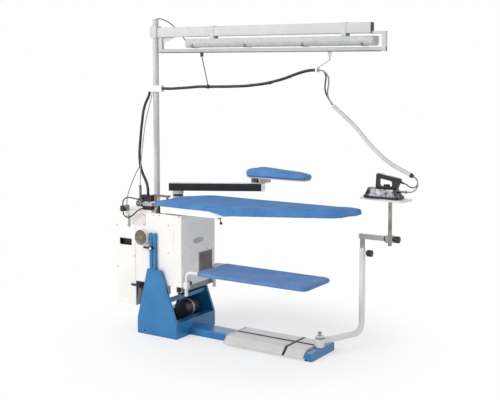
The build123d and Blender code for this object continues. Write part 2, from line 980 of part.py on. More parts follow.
# Steam dome of the iron with its rear steam fitting
with BuildPart() as iron_dome:
    loft(sections=[iron_plan(dome_inset, dome_level), iron_plan(dome_top_inset, handle_level)])
    fillet(iron_dome.faces().sort_by(Axis.Z)[-1].edges(), dome_edge)
    round_bar(fitting_start, fitting_end, fitting_radius)
    round_bar((fitting_end.X - fitting_nut_length, iron_y, fitting_end.Z), fitting_end,
              fitting_nut_radius)
save(iron_dome.part, "iron_dome")

grip_slope = (handle_rear_top - handle_front_top) / (handle_rear_x - handle_front_x)
gap_front = handle_foot_front_x + handle_front_strut
gap_rear = handle_foot_rear_x - handle_rear_strut


def grip_top(x):
    """Gives the level of the top of the grip."""
    return handle_front_top + (x - handle_front_x) * grip_slope


handle_outline = [
    (handle_foot_front_x, handle_level), (handle_front_x, handle_front_top),
    (handle_rear_x, handle_rear_top), (handle_foot_rear_x, handle_level),
]
gap_outline = [
    (gap_front, handle_level + handle_foot), (gap_front, grip_top(gap_front) - handle_grip),
    (gap_rear, grip_top(gap_rear) - handle_grip), (gap_rear, handle_level + handle_foot),
]
handle_corners = [handle_foot_corner, handle_corner, handle_corner, handle_foot_corner]
button_x = handle_front_x + button_place_share * (handle_rear_x - handle_front_x)
button_plane = Plane(origin=(button_x, iron_y, grip_top(button_x)), x_dir=(1, 0, grip_slope),
                     z_dir=(-grip_slope, 0, 1))
relief_end = Vector(*iron_cable_bends[-1])
relief_run = (relief_end - Vector(*iron_cable_bends[-2])).normalized()

# Handle of the iron: grip over a finger gap, a pocket for the button and a cable relief
with BuildPart() as iron_handle:
    with BuildSketch(Plane.XZ.offset(-iron_y)):
        with BuildLine():
            FilletPolyline(*handle_outline, radius=handle_corners, close=True)
        make_face()
        with BuildLine():
            FilletPolyline(*gap_outline, radius=handle_corner, close=True)
        make_face(mode=Mode.SUBTRACT)
    extrude(amount=handle_width / 2, both=True)
    near_face = iron_handle.faces().sort_by(Axis.Y)[0]
    far_face = iron_handle.faces().sort_by(Axis.Y)[-1]
    fillet(near_face.outer_wire().edges() + far_face.outer_wire().edges(), handle_edge / 2)
    with BuildSketch(button_plane):
        RectangleRounded(button_length + 2 * seat_gap, button_width + 2 * seat_gap, button_corner)
    extrude(amount=-(button_sink + button_travel + seat_gap), mode=Mode.SUBTRACT)
    with Locations((dial_x, iron_y, handle_level + handle_foot)):
        Cylinder(dial_pin_radius + running_gap, 2 * (dial_pin_length + seat_gap), mode=Mode.SUBTRACT)
    round_bar(relief_end, relief_end + relief_run * relief_length, relief_radius)
save(iron_handle.part, "iron_handle")

with BuildPart() as steam_button:
    with BuildSketch(button_plane.offset(-button_sink)):
        RectangleRounded(button_length, button_width, button_corner)
    extrude(amount=button_height)
    fillet(steam_button.faces().sort_by(Axis.Z)[-1].edges(), button_corner / 2)
save(steam_button.part, "iron_steam_button")

# Thermostat dial, its pin in the foot of the handle
dial_level = handle_level + handle_foot + seat_gap
with BuildPart() as iron_dial:
    with Locations((dial_x, iron_y, dial_level + dial_height / 2)):
        Cylinder(dial_radius, dial_height)
    chamfer(iron_dial.faces().sort_by(Axis.Z)[-1].edges(), dial_edge)
    with BuildSketch(Plane.XY.offset(dial_level + dial_height)):
        with Locations((dial_x - dial_radius, iron_y)):
            Circle(dial_pin_radius)
    extrude(amount=-dial_height, mode=Mode.SUBTRACT)
    round_bar((dial_x, iron_y, dial_level - dial_pin_length), (dial_x, iron_y, dial_level), dial_pin_radius)
save(iron_dial.part, "iron_dial")

cap_start = Vector(*sleeve_lower_route[-1])
cap_run = (cap_start - Vector(*sleeve_lower_route[-2])).normalized()
cap_end = cap_start + cap_run * end_cap_length
cap_side = Vector(0, 0, 1).cross(cap_run).normalized() * end_cap_spread

# Cone that closes the sleeve and lets the cable and the steam hose out
with BuildPart() as hose_end_cap:
    with Locations(Plane(origin=cap_start, z_dir=cap_run)):
        Cone(end_cap_radius, end_cap_small_radius, end_cap_length,
             align=(Align.CENTER, Align.CENTER, Align.MIN))
save(hose_end_cap.part, "hose_end_cap")

half_depth = cabinet_depth / 2
front_face, rear_face = -half_depth, half_depth
inner_depth = half_depth - cabinet_wall
inner_left, inner_right = cabinet_left + cabinet_wall, cabinet_right - cabinet_wall
exhaust_plane = Plane.XZ.offset(half_depth)
vent_hole_y = (vent_near + vent_frame, vent_far - vent_frame)
vent_hole_z = (vent_bottom + vent_frame, vent_top - vent_frame)
slat_pitch = (vent_hole_z[1] - vent_hole_z[0]) / vent_slats
slat_places = [
    Location((cabinet_right, middle(*vent_hole_y), vent_hole_z[0] + slat_pitch * (number + 1 / 2)),
             (0, vent_slat_angle, 0))
    for number in range(vent_slats)
]
block_spans = [(level - block_height / 2, level + block_height / 2)
               for level in (block_upper_level, block_lower_level)]
socket_top = socket_bottom + socket_height

# Main cabinet with its louvre, covers, guide blocks, lock stud, tray sockets and the bar on its top
with BuildPart() as cabinet:
    span_box((cabinet_left, cabinet_right), (front_face, rear_face), (cabinet_bottom, cabinet_top))
    fillet(cabinet.edges().filter_by(Axis.Z).group_by(Axis.X)[-1], cabinet_corner)
    span_box((inner_left, inner_right), (-inner_depth, inner_depth),
             (cabinet_bottom - cut_over, cabinet_top - cabinet_wall), mode=Mode.SUBTRACT)
    span_box((collar_left + sheet, collar_right - sheet),
             (sheet - collar_span / 2, collar_span / 2 - sheet),
             (cabinet_top - cabinet_wall - cut_over, cabinet_top + cut_over), mode=Mode.SUBTRACT)
    with BuildSketch(exhaust_plane):
        with Locations((exhaust_x, exhaust_z)):
            Circle(exhaust_radius - exhaust_wall)
    extrude(amount=-(cabinet_wall + cut_over), mode=Mode.SUBTRACT)
    span_box((cabinet_right, cabinet_right + vent_proud), (vent_near, vent_far), (vent_bottom, vent_top))
    span_box((inner_right - cut_over, cabinet_right + vent_proud + cut_over), vent_hole_y, vent_hole_z,
             mode=Mode.SUBTRACT)
    with Locations(*slat_places):
        Box(vent_slat_depth, vent_hole_y[1] - vent_hole_y[0], vent_slat_sheet)
    span_box((cabinet_right, cabinet_right + band_proud), (front_face + cabinet_corner, band_far),
             (band_bottom, band_top))
    span_box((access_left, access_right), (front_face - access_proud, front_face),
             (access_bottom, access_top))
    span_box((junction_left, junction_right), (front_face - junction_proud, front_face),
             (junction_bottom, junction_top))
    junction_face = front_face - junction_proud
    for x in (junction_left + junction_screw_inset, junction_right - junction_screw_inset):
        for z in (junction_bottom + junction_screw_inset, junction_top - junction_screw_inset):
            round_bar((x, junction_face, z), (x, junction_face - screw_height, z), screw_radius)
    for x, z in wall_screws:
        round_bar((x, front_face, z), (x, front_face - screw_height, z), screw_radius)
    for x, z in access_screws:
        round_bar((x, front_face - access_proud, z), (x, front_face - access_proud - screw_height, z),
                  screw_radius)
    for y, z in side_screws:
        round_bar((cabinet_right, y, z), (cabinet_right + screw_height, y, z), screw_radius)
    for bottom, top in block_spans:
        span_box((channel_x - block_half, channel_x + block_half), (block_front, front_face), (bottom, top))
        span_box((channel_x - block_half, channel_x + block_half), (rear_face, -block_front), (bottom, top))
    round_bar((channel_x, block_front, block_upper_level), (channel_x, stud_head, block_upper_level),
              stud_radius)
    round_bar((channel_x, stud_head, block_upper_level),
              (channel_x, stud_head - stud_cap_length, block_upper_level), stud_cap_radius)
    for side in (-1, 1):
        leg_y = side * tray_half_width
        span_box((cabinet_right, tray_leg_x + socket_side / 2),
                 (leg_y - socket_side / 2, leg_y + socket_side / 2), (socket_bottom, socket_top))
        round_bar((tray_leg_x, leg_y, socket_bottom - cut_over), (tray_leg_x, leg_y, socket_top + cut_over),
                  tray_tube_radius + running_gap, mode=Mode.SUBTRACT)
    round_bar((tray_leg_x, -tray_half_width, tray_knob_level),
              (tray_leg_x, socket_side - tray_half_width, tray_knob_level),
              knob_screw_radius + running_gap, mode=Mode.SUBTRACT)
    for x in (bar_left + bar_post_inset, bar_right - bar_post_inset):
        round_bar((x, bar_y, cabinet_top), (x, bar_y, bar_bottom), bar_post_radius)
    span_box((bar_left, bar_right), (bar_y - bar_depth / 2, bar_y + bar_depth / 2),
             (bar_bottom, bar_bottom + bar_height))
    with Locations((elbow_x, valve_y, cabinet_top)):
        Cone(elbow_foot_radius, elbow_top_radius, elbow_height,
             align=(Align.CENTER, Align.CENTER, Align.MIN))
save(cabinet.part, "cabinet")

knob_seat = socket_side / 2 - tray_half_width + seat_gap
hand_knob("tray_knob", (tray_leg_x, knob_seat, tray_knob_level), (0, 1, 0),
          knob_seat + tray_half_width - tray_tube_radius - seat_gap, tray_knob_radius, tray_knob_length,
          tray_knob_neck_radius, tray_knob_neck_length)

# Bare oval plate on the end of the cabinet
with BuildPart() as oval_plate:
    with BuildSketch(Plane.YZ.offset(cabinet_right)):
        with Locations((oval_y, oval_z)):
            Ellipse(oval_length / 2, oval_height / 2)
    extrude(amount=oval_proud)
save(oval_plate.part, "oval_plate")

volute_near = fan_front + motor_length + motor_band_length
volute_far = volute_near + volute_length
neck_left = fan_x - volute_radius
neck_middle = neck_left + neck_width / 2
neck_inner = (neck_left + volute_wall, neck_left + neck_width - volute_wall)
beam_near, beam_far = carriage_beam_x - carriage_beam_width / 2, carriage_beam_x + carriage_beam_width / 2
beam_low = cabinet_bottom - carriage_beam_height
carriage_line = [
    (beam_near + sheet / 2, cabinet_bottom), (beam_near + sheet / 2, beam_low + sheet / 2),
    (beam_far - sheet / 2, beam_low + sheet / 2), (beam_far - sheet / 2, cabinet_bottom),
]

# Floor of the cabinet with the carriage beam folded below it
with BuildPart() as cabinet_floor:
    span_box((inner_left, inner_right), (-inner_depth, inner_depth),
             (cabinet_bottom, cabinet_bottom + sheet))
    span_box(neck_inner, (volute_near + volute_wall, volute_far - volute_wall),
             (cabinet_bottom - cut_over, cabinet_bottom + sheet + cut_over), mode=Mode.SUBTRACT)
    extrude(to_extrude=folded(Plane.XZ.offset(-inner_depth), carriage_line, cut_over + sheet, sheet),
            amount=2 * inner_depth)
save(cabinet_floor.part, "cabinet_floor")

boiler_middle = middle(boiler_left, cabinet_left)
boiler_top = cabinet_top - sheet
recess_x = (handle_recess_x - handle_recess_width / 2, handle_recess_x + handle_recess_width / 2)
recess_z = (handle_recess_z - handle_recess_height / 2, handle_recess_z + handle_recess_height / 2)
recess_back = front_face + handle_recess_depth
rim = handle_recess_rim
wall = handle_recess_wall
sight_y = front_face - sight_stand
stem_front = drain_y - drain_side / 2 - drain_stem_length

with BuildPart() as drain_body:
    with Locations((drain_x, drain_y, drain_z)):
        Box(drain_side, drain_side, drain_side)
    chamfer(drain_body.edges(), drain_edge)

# Boiler cabinet with its handle recess, sight glass and drain valve
with BuildPart() as boiler_cabinet:
    span_box((boiler_left, cabinet_left), (front_face, rear_face), (boiler_bottom, boiler_top))
    fillet(boiler_cabinet.edges().filter_by(Axis.Z).group_by(Axis.X)[0], cabinet_corner)
    span_box((boiler_left + cabinet_wall, cabinet_left - cabinet_wall), (-inner_depth, inner_depth),
             (boiler_bottom + cabinet_wall, boiler_top + cut_over), mode=Mode.SUBTRACT)
    span_box((recess_x[0] - wall, recess_x[1] + wall), (front_face, recess_back + wall),
             (recess_z[0] - wall, recess_z[1] + wall))
    span_box((recess_x[0] - rim, recess_x[1] + rim), (front_face - handle_recess_proud, front_face),
             (recess_z[0] - rim, recess_z[1] + rim))
    span_box(recess_x, (front_face - cut_over, recess_back), recess_z, mode=Mode.SUBTRACT)
    for x, z in boiler_screws:
        round_bar((x, front_face, z), (x, front_face - screw_height, z), screw_radius)
    for level in (sight_bottom, sight_top - sight_end):
        round_bar((sight_x, sight_y, level), (sight_x, sight_y, level + sight_end), sight_end_radius)
        round_bar((sight_x, front_face, level + sight_end / 2), (sight_x, sight_y, level + sight_end / 2),
                  sight_radius)
    round_bar((sight_x, sight_y, sight_bottom), (sight_x, sight_y, sight_top), sight_radius)
    round_bar((cabinet_left, drain_y, drain_z), (drain_x, drain_y, drain_z), nipple_radius)
    add(drain_body.part)
    round_bar((drain_x, drain_y, drain_z), (drain_x, stem_front, drain_z), drain_stem_radius)
    round_bar((drain_x, drain_y, drain_z), (drain_x, drain_y, drain_pipe_bottom), drain_pipe_radius)
    round_bar((drain_x, drain_y, drain_z - drain_side / 2 - drain_nut_height), (drain_x, drain_y, drain_z),
              drain_nut_radius)
save(boiler_cabinet.part, "boiler_cabinet")

drain_face = drain_y - drain_side / 2 - drain_lever_gap

# Drain lever on the stem of the valve
with BuildPart() as drain_lever:
    with BuildSketch(Plane.XZ.offset(-drain_face)):
        with Locations((drain_x, drain_z)):
            Circle(drain_lever_hub_radius)
        with Locations((drain_x - drain_lever_length / 2, drain_z)):
            SlotCenterToCenter(drain_lever_length - drain_lever_width, drain_lever_width)
        with Locations((drain_x, drain_z)):
            Circle(drain_stem_radius + running_gap, mode=Mode.SUBTRACT)
    extrude(amount=drain_lever_sheet)
save(drain_lever.part, "drain_lever")

saddle_y = valve_loop_route[8][1]

# Lid of the boiler cabinet with the hose saddle on its front edge
with BuildPart() as boiler_lid:
    span_box((boiler_left, cabinet_left), (front_face, rear_face), (boiler_top, cabinet_top))
    round_bar((mast_x, mast_y, boiler_top - cut_over), (mast_x, mast_y, cabinet_top + cut_over),
              mast_radius + seat_gap, mode=Mode.SUBTRACT)
    span_box((hose_saddle_x - hose_saddle_width / 2, hose_saddle_x + hose_saddle_width / 2),
             (saddle_y - hose_saddle_front, saddle_y + hose_saddle_back),
             (cabinet_top, cabinet_top + hose_saddle_height))
    round_bar((hose_saddle_x, saddle_y, cabinet_top - cut_over),
              (hose_saddle_x, saddle_y, cabinet_top + hose_saddle_height + cut_over),
              small_hose_diameter / 2 + seat_gap, mode=Mode.SUBTRACT)
save(boiler_lid.part, "boiler_lid")

# Boiler tank with dished ends on two saddles
tank_floor = boiler_bottom + cabinet_wall
with BuildPart() as boiler_tank:
    for end in (-1, 1):
        saddle_at = tank_y + end * (tank_length / 2 - tank_saddle_inset)
        span_box((boiler_middle - tank_saddle_half, boiler_middle + tank_saddle_half),
                 (saddle_at - tank_saddle_width / 2, saddle_at + tank_saddle_width / 2),
                 (tank_floor, tank_level - tank_radius / 2))
    with Locations(Plane(origin=(boiler_middle, tank_y, tank_level), z_dir=(0, 1, 0))):
        Cylinder(tank_radius, tank_length)
    chamfer(boiler_tank.edges().filter_by(GeomType.CIRCLE).sort_by(Axis.Y)[0], tank_dome)
    chamfer(boiler_tank.edges().filter_by(GeomType.CIRCLE).sort_by(Axis.Y)[-1], tank_dome)
save(boiler_tank.part, "boiler_tank")

ring_radii = [grille_hub_radius + grille_ring_step * (number + 1) for number in range(grille_rings)]
spoke_middle = middle(grille_hub_radius, exhaust_radius) - exhaust_wall / 2
spoke_length = exhaust_radius - grille_hub_radius

# Exhaust drum with its grille of rings and spokes
with BuildPart() as exhaust_grille:
    with BuildSketch(exhaust_plane):
        with Locations((exhaust_x, exhaust_z)):
            Circle(exhaust_radius)
            Circle(exhaust_radius - exhaust_wall, mode=Mode.SUBTRACT)
    extrude(amount=exhaust_depth)
    with BuildSketch(exhaust_plane.offset(exhaust_depth - grille_setback)):
        with Locations((exhaust_x, exhaust_z)):
            Circle(grille_hub_radius)
            for radius in ring_radii:
                with BuildSketch(mode=Mode.PRIVATE) as ring:
                    Circle(radius + grille_wire / 2)
                    Circle(radius - grille_wire / 2, mode=Mode.SUBTRACT)
                add(ring.sketch)
            with PolarLocations(spoke_middle, grille_spokes):
                Rectangle(spoke_length, grille_wire)
    extrude(amount=-grille_wire)
save(exhaust_grille.part, "exhaust_grille")

# Motor of the vacuum fan with its hanger
with BuildPart() as fan_motor:
    round_bar((fan_x, fan_front, fan_z), (fan_x, fan_front + motor_length, fan_z), motor_radius)
    chamfer(fan_motor.faces().sort_by(Axis.Y)[0].edges(), corner_radius)
    round_bar((fan_x, fan_front + motor_length, fan_z), (fan_x, volute_near, fan_z), motor_band_radius)
    span_box((fan_x - hanger_width / 2, fan_x + hanger_width / 2),
             (fan_front + hanger_inset, fan_front + hanger_inset + hanger_sheet), (fan_z, cabinet_bottom))
    round_bar((fan_x, volute_near - motor_bore_depth, fan_z), (fan_x, volute_near + cut_over, fan_z),
              shaft_radius + running_gap, mode=Mode.SUBTRACT)
save(fan_motor.part, "fan_motor")


def volute(inset, start, length, top):
    """Gives the body of the fan housing and its neck, set in from the outside."""
    with BuildPart() as body:
        with BuildSketch(Plane.XZ.offset(-(start + length))):
            with Locations((fan_x, fan_z)):
                Circle(volute_radius - inset)
            with Locations((neck_middle, middle(fan_z, top))):
                Rectangle(neck_width - 2 * inset, top - fan_z)
        extrude(amount=length)
    return body.part


# Housing of the vacuum fan, its neck tangent to the scroll
with BuildPart() as fan_housing:
    add(volute(0, volute_near, volute_length, cabinet_bottom))
    add(volute(volute_wall, volute_near + volute_wall, volute_length - 2 * volute_wall,
               cabinet_bottom + cut_over), mode=Mode.SUBTRACT)
    round_bar((fan_x, volute_far - volute_wall - cut_over, fan_z), (fan_x, volute_far + cut_over, fan_z),
              volute_inlet_radius, mode=Mode.SUBTRACT)
    round_bar((fan_x, volute_near - cut_over, fan_z), (fan_x, volute_near + volute_wall + cut_over, fan_z),
              shaft_radius + running_gap, mode=Mode.SUBTRACT)
save(fan_housing.part, "fan_housing")

impeller_start = volute_near + volute_wall + impeller_gap
impeller_end = impeller_start + impeller_length
blade_length = impeller_radius - impeller_hub_radius

# Impeller with its shaft
with BuildPart() as fan_impeller:
    with BuildSketch(Plane.XZ.offset(-impeller_end)):
        with Locations((fan_x, fan_z)):
            Circle(impeller_hub_radius)
            with PolarLocations(middle(impeller_hub_radius, impeller_radius) - impeller_blade_sheet,
                                impeller_blades):
                Rectangle(blade_length, impeller_blade_sheet, rotation=impeller_blade_angle)
    extrude(amount=impeller_length)
    round_bar((fan_x, impeller_start, fan_z), (fan_x, impeller_start + impeller_disc, fan_z),
              impeller_radius)
    round_bar((fan_x, impeller_end - shaft_length, fan_z), (fan_x, impeller_end, fan_z), shaft_radius)
save(fan_impeller.part, "fan_impeller")

low_coil_bottom = cabinet_top + valve_foot_height
manifold_bottom = low_coil_bottom + low_coil_height
manifold_top = manifold_bottom + manifold_height
high_coil_bottom = manifold_top + stem_height
high_coil_top = high_coil_bottom + high_coil_height
manifold_middle = middle(manifold_bottom, manifold_top)
coil_front, coil_back = valve_y - coil_width / 2, valve_y + coil_width / 2
valve_middle = middle(valve_left, valve_right)
foot_inset = coil_edge
nipple_ends = [valve_loop_route[0], valve_loop_route[-1]]
disc_places = [regulator_left + regulator_pitch * number for number in range(regulator_discs)]

# Valve stack: bracket, two coils, the manifold between them, the finned regulator and the gland
with BuildPart() as valve_stack:
    span_box((high_coil_left, valve_right), (coil_front, coil_back), (high_coil_bottom, high_coil_top))
    span_box((valve_left, valve_right), (coil_front, coil_back), (low_coil_bottom, manifold_bottom))
    fillet(valve_stack.edges().filter_by(Axis.Z), coil_edge)
    span_box((valve_left + foot_inset, valve_right - foot_inset),
             (coil_front + foot_inset, coil_back - foot_inset), (cabinet_top, low_coil_bottom))
    span_box((valve_left, valve_right), (coil_front + foot_inset, coil_back - foot_inset),
             (manifold_bottom, manifold_top))
    round_bar((valve_middle, valve_y, manifold_middle), (valve_middle, valve_y, high_coil_bottom),
              stem_radius)
    round_bar((regulator_left, valve_y, manifold_middle), (valve_left, valve_y, manifold_middle),
              regulator_core_radius)
    for x in disc_places:
        round_bar((x, valve_y, manifold_middle), (x + regulator_disc, valve_y, manifold_middle),
                  regulator_radius)
    round_bar((gland_x, valve_y, manifold_middle), (gland_x, valve_y, gland_top - gland_nut_height),
              gland_stem_radius)
    with BuildSketch(Plane.XY.offset(gland_top - gland_nut_height)):
        with Locations((gland_x, valve_y)):
            RegularPolygon(gland_nut_radius, 6)
    extrude(amount=gland_nut_height)
    for x, y, z in nipple_ends:
        round_bar((x, coil_front, z), (x, y, z), valve_nipple_radius)
save(valve_stack.part, "valve_stack")

coil_start = gland_top + gland_wire_radius


def coil_point(number):
    """Gives the place on the coil after a number of its arcs."""
    turn = 2 * pi * number / gland_arcs
    return Vector(gland_x + gland_coil_radius * cos(turn), valve_y + gland_coil_radius * sin(turn),
                  coil_start + gland_pitch * number / gland_arcs)


# Spring that guards the control cable above the gland
with BuildPart() as gland_spring:
    with BuildLine() as coil:
        direction = Vector(0, 2 * pi * gland_coil_radius, gland_pitch).normalized()
        for number in range(gland_arcs * gland_turns):
            arc = TangentArc(coil_point(number), coil_point(number + 1), tangent=direction)
            direction = arc % 1
    with BuildSketch(Plane(origin=coil.line @ 0, z_dir=coil.line % 0)):
        RegularPolygon(gland_wire_radius, gland_wire_sides)
    sweep()
save(gland_spring.part, "gland_spring")

# Points along the spring and the distances between those at least half a turn apart
coil_steps = gland_turns * coil_samples
coil_places = [coil.line @ (step / coil_steps) for step in range(coil_steps + 1)]
coil_distances = [
    (there - here).length
    for step, here in enumerate(coil_places)
    for there in coil_places[step + coil_samples // 2:]
]
coil_gap = min(coil_distances) - 2 * gland_wire_radius
print(f"gland spring: {gland_turns} turns, least gap to itself {coil_gap:.1f}")


def board_outline(inset):
    """Gives the plan of the board, set in from its edge."""
    corners = [
        (board_left, board_front), (board_bend_x, board_front), (board_taper_x, board_taper_y),
        (board_nose_x, board_nose_y), (board_nose_back_x, board_nose_back_y),
        (board_back_left_x, board_back_left_y), (board_left, board_left_y),
    ]
    with BuildSketch() as plan:
        with BuildLine():
            FilletPolyline(*corners, radius=board_corner_radii, close=True)
        make_face()
        if inset:
            offset(amount=-inset, mode=Mode.REPLACE)
    return plan.sketch


def under_board(inset, side_line):
    """Gives the body under the plan of the board that stays within a side outline."""
    levels = [z for _, z in side_line]
    with BuildPart() as body:
        raised(board_outline(inset), min(levels), max(levels) - min(levels))
        with BuildSketch(Plane.XZ):
            with BuildLine():
                Polyline(*side_line, close=True)
            make_face()
        extrude(amount=stand_depth, both=True, mode=Mode.INTERSECT)
    return body.part


plate_top = board_top - board_pad_thickness
plate_bottom = plate_top - plate_sheet
nose_end = board_nose_x + board_edge
pad_side_line = [
    (board_left - board_edge, board_bottom_left), (board_left_bottom_end, board_bottom_left),
    (board_bend_x, board_bottom), (board_nose_bottom_start, board_bottom), (nose_end, board_bottom_nose),
    (nose_end, board_top), (board_left - board_edge, board_top),
]

# Padded cover of the board, hollow below for the plate and the pan
with BuildPart() as board_pad:
    raised(board_outline(0), board_bottom, board_top - board_bottom)
    fillet(board_pad.faces().sort_by(Axis.Z)[-1].edges(), board_edge)
    with BuildSketch(Plane.XZ):
        with BuildLine():
            Polyline(*pad_side_line, close=True)
        make_face()
    extrude(amount=stand_depth, both=True, mode=Mode.INTERSECT)
    raised(board_outline(board_skirt), board_bottom - cut_over, plate_top - board_bottom + cut_over,
           mode=Mode.SUBTRACT)
save(board_pad.part, "board_pad")


def pan_side_line(lift):
    """Gives the side outline of the pan, lifted by the sheet for its inside."""
    return [
        (pan_left + lift, pan_bottom + lift), (pan_step_x, pan_bottom + lift), (pan_rise_x, pan_rise + lift),
        (pan_nose_x, pan_rise + lift), (board_nose_x, plate_bottom), (pan_left + lift, plate_bottom),
    ]


# Suction pan with the perforated plate on it, the collar below it and the boss of the air lever
with BuildPart() as board_pan:
    add(under_board(pan_inset, pan_side_line(0)))
    add(under_board(pan_inset + sheet, pan_side_line(sheet)), mode=Mode.SUBTRACT)
    raised(board_outline(plate_inset), plate_bottom, plate_sheet)
    with BuildSketch(Plane.XY.offset(plate_top + cut_over)):
        with Locations((plate_hole_x, plate_hole_y)):
            with GridLocations(plate_hole_pitch, plate_hole_pitch, plate_hole_columns, plate_hole_rows):
                Circle(plate_hole_radius)
    extrude(amount=-(plate_sheet + 2 * cut_over), mode=Mode.SUBTRACT)
    span_box((collar_left, collar_right), (-collar_span / 2, collar_span / 2), (cabinet_top, pan_bottom))
    span_box((collar_left + sheet, collar_right - sheet), (sheet - collar_span / 2, collar_span / 2 - sheet),
             (cabinet_top - cut_over, pan_bottom + sheet + cut_over), mode=Mode.SUBTRACT)
    round_bar((air_x, air_y, pan_bottom), (air_x, air_y, pan_bottom + air_boss_height), air_hub_radius)
    round_bar((air_x, air_y, pan_bottom - air_hub_height), (air_x, air_y, pan_bottom), air_pin_radius)
save(board_pan.part, "board_pan")

air_top = pan_bottom - seat_gap
air_middle = air_top - air_hub_height / 2
air_out_x, air_out_y = cos(radians(air_lever_angle)), sin(radians(air_lever_angle))
air_elbow = (air_x + air_rod_reach * air_out_x, air_y + air_rod_reach * air_out_y, air_middle)
air_ball_reach = air_rod_reach + air_ball_out
air_ball = (air_x + air_ball_reach * air_out_x, air_y + air_ball_reach * air_out_y,
            air_middle - air_ball_drop)

# Air lever with its ball
with BuildPart() as air_lever:
    with BuildLine() as air_path:
        FilletPolyline((air_x, air_y, air_middle), air_elbow, air_ball, radius=air_rod_bend)
    with BuildSketch(Plane(origin=air_path.line @ 0, z_dir=air_path.line % 0)):
        Circle(air_rod_radius)
    sweep()
    with Locations(air_ball):
        Sphere(air_ball_radius)
    round_bar((air_x, air_y, air_top - air_hub_height), (air_x, air_y, air_top), air_hub_radius)
    round_bar((air_x, air_y, air_top - 2 * air_hub_height), (air_x, air_y, air_top + cut_over),
              air_pin_radius + running_gap, mode=Mode.SUBTRACT)
save(air_lever.part, "air_lever")

neck_bottom = cabinet_top + swivel_foot_height
groove_radius = swivel_neck_radius - swivel_groove
foot_side_line = [
    (0, cabinet_top), (swivel_foot_radius, cabinet_top), (swivel_foot_radius, neck_bottom),
    (swivel_neck_radius, neck_bottom), (swivel_neck_radius, swivel_groove_level),
    (groove_radius, swivel_groove_level), (groove_radius, swivel_groove_level + swivel_groove_height),
    (swivel_neck_radius, swivel_groove_level + swivel_groove_height), (swivel_neck_radius, swivel_bottom),
    (swivel_pin_radius, swivel_bottom), (swivel_pin_radius, swivel_bottom + swivel_pin_height),
    (0, swivel_bottom + swivel_pin_height),
]

# Turned foot of the swivel arm
with BuildPart() as swivel_foot:
    with BuildSketch(Plane(origin=(swivel_x, swivel_y, 0), x_dir=(1, 0, 0), z_dir=(0, -1, 0))):
        with BuildLine():
            Polyline(*foot_side_line, close=True)
        make_face()
    revolve(axis=Axis((swivel_x, swivel_y, 0), (0, 0, 1)))
save(swivel_foot.part, "swivel_foot")

swivel_low = swivel_bottom + seat_gap
swivel_top = swivel_bottom + swivel_height
swivel_run = Vector(cos(radians(swivel_angle)), sin(radians(swivel_angle)), 0)
swivel_middle = Vector(swivel_x, swivel_y, swivel_low) + swivel_run * middle(-swivel_tail, swivel_length)
sleeve_pivot = Vector(swivel_x, swivel_y, swivel_top) + swivel_run * (swivel_length - sleeve_pivot_inset)

# Swivel arm with the pin of the sleeve board at its far end
with BuildPart() as swivel_arm:
    with BuildSketch(Plane(origin=swivel_middle, x_dir=swivel_run)):
        RectangleRounded(swivel_tail + swivel_length, swivel_width, swivel_corner)
    extrude(amount=swivel_top - swivel_low)
    round_bar((swivel_x, swivel_y, swivel_bottom - cut_over),
              (swivel_x, swivel_y, swivel_bottom + swivel_pin_height + seat_gap),
              swivel_pin_radius + running_gap, mode=Mode.SUBTRACT)
    round_bar(sleeve_pivot, sleeve_pivot + Vector(0, 0, sleeve_pin_height), sleeve_pin_radius)
save(swivel_arm.part, "swivel_arm")

sleeve_run = Vector(cos(radians(sleeve_angle)), sin(radians(sleeve_angle)), 0)
bracket_bottom = swivel_top + seat_gap
bracket_top = swivel_top + sleeve_bracket_height
pad_bottom = bracket_top + sleeve_board_sheet
bracket_middle = middle(-sleeve_bracket_near, sleeve_bracket_far)
bracket_depth = sleeve_bracket_near + sleeve_bracket_far
web_offset = (sleeve_bracket_length - sleeve_bracket_sheet) / 2


def sleeve_plane(level):
    """Gives the working plane of the sleeve board over its pivot."""
    return Plane(origin=(sleeve_pivot.X, sleeve_pivot.Y, level), x_dir=sleeve_run)


def sleeve_outline(level, inset):
    """Gives the plan of the sleeve board at a level, set in from its edge."""
    half_back, half_nose = sleeve_width / 2, sleeve_nose_width / 2
    back, nose = -sleeve_back, sleeve_length - sleeve_back
    corners = [
        (back, sleeve_offset - half_back), (nose, sleeve_offset - half_nose),
        (nose, sleeve_offset + half_nose), (back, sleeve_offset + half_back),
    ]
    with BuildSketch(sleeve_plane(level)) as plan:
        with BuildLine():
            FilletPolyline(*corners, radius=sleeve_corner_radius, close=True)
        make_face()
        if inset:
            offset(amount=-inset, mode=Mode.REPLACE)
    return plan.sketch


# Bracket of the sleeve board: base plate on the pin, two webs and the board plate
with BuildPart() as sleeve_bracket:
    with BuildSketch(sleeve_plane(bracket_bottom)):
        with Locations((0, bracket_middle)):
            Rectangle(sleeve_bracket_length, bracket_depth)
        Circle(sleeve_pin_radius + running_gap, mode=Mode.SUBTRACT)
    extrude(amount=sleeve_bracket_sheet)
    with BuildSketch(sleeve_plane(bracket_bottom + sleeve_bracket_sheet)):
        with Locations((-web_offset, bracket_middle), (web_offset, bracket_middle)):
            Rectangle(sleeve_bracket_sheet, bracket_depth)
    extrude(amount=bracket_top - bracket_bottom - sleeve_bracket_sheet)
    extrude(to_extrude=sleeve_outline(bracket_top, sleeve_board_inset), amount=sleeve_board_sheet)
save(sleeve_bracket.part, "sleeve_bracket")

with BuildPart() as sleeve_pad:
    extrude(to_extrude=sleeve_outline(pad_bottom, 0), amount=sleeve_pad_height)
    fillet(sleeve_pad.faces().sort_by(Axis.Z)[-1].edges(), sleeve_pad_edge)
    fillet(sleeve_pad.faces().sort_by(Axis.Z)[0].edges(), corner_radius)
save(sleeve_pad.part, "sleeve_pad")

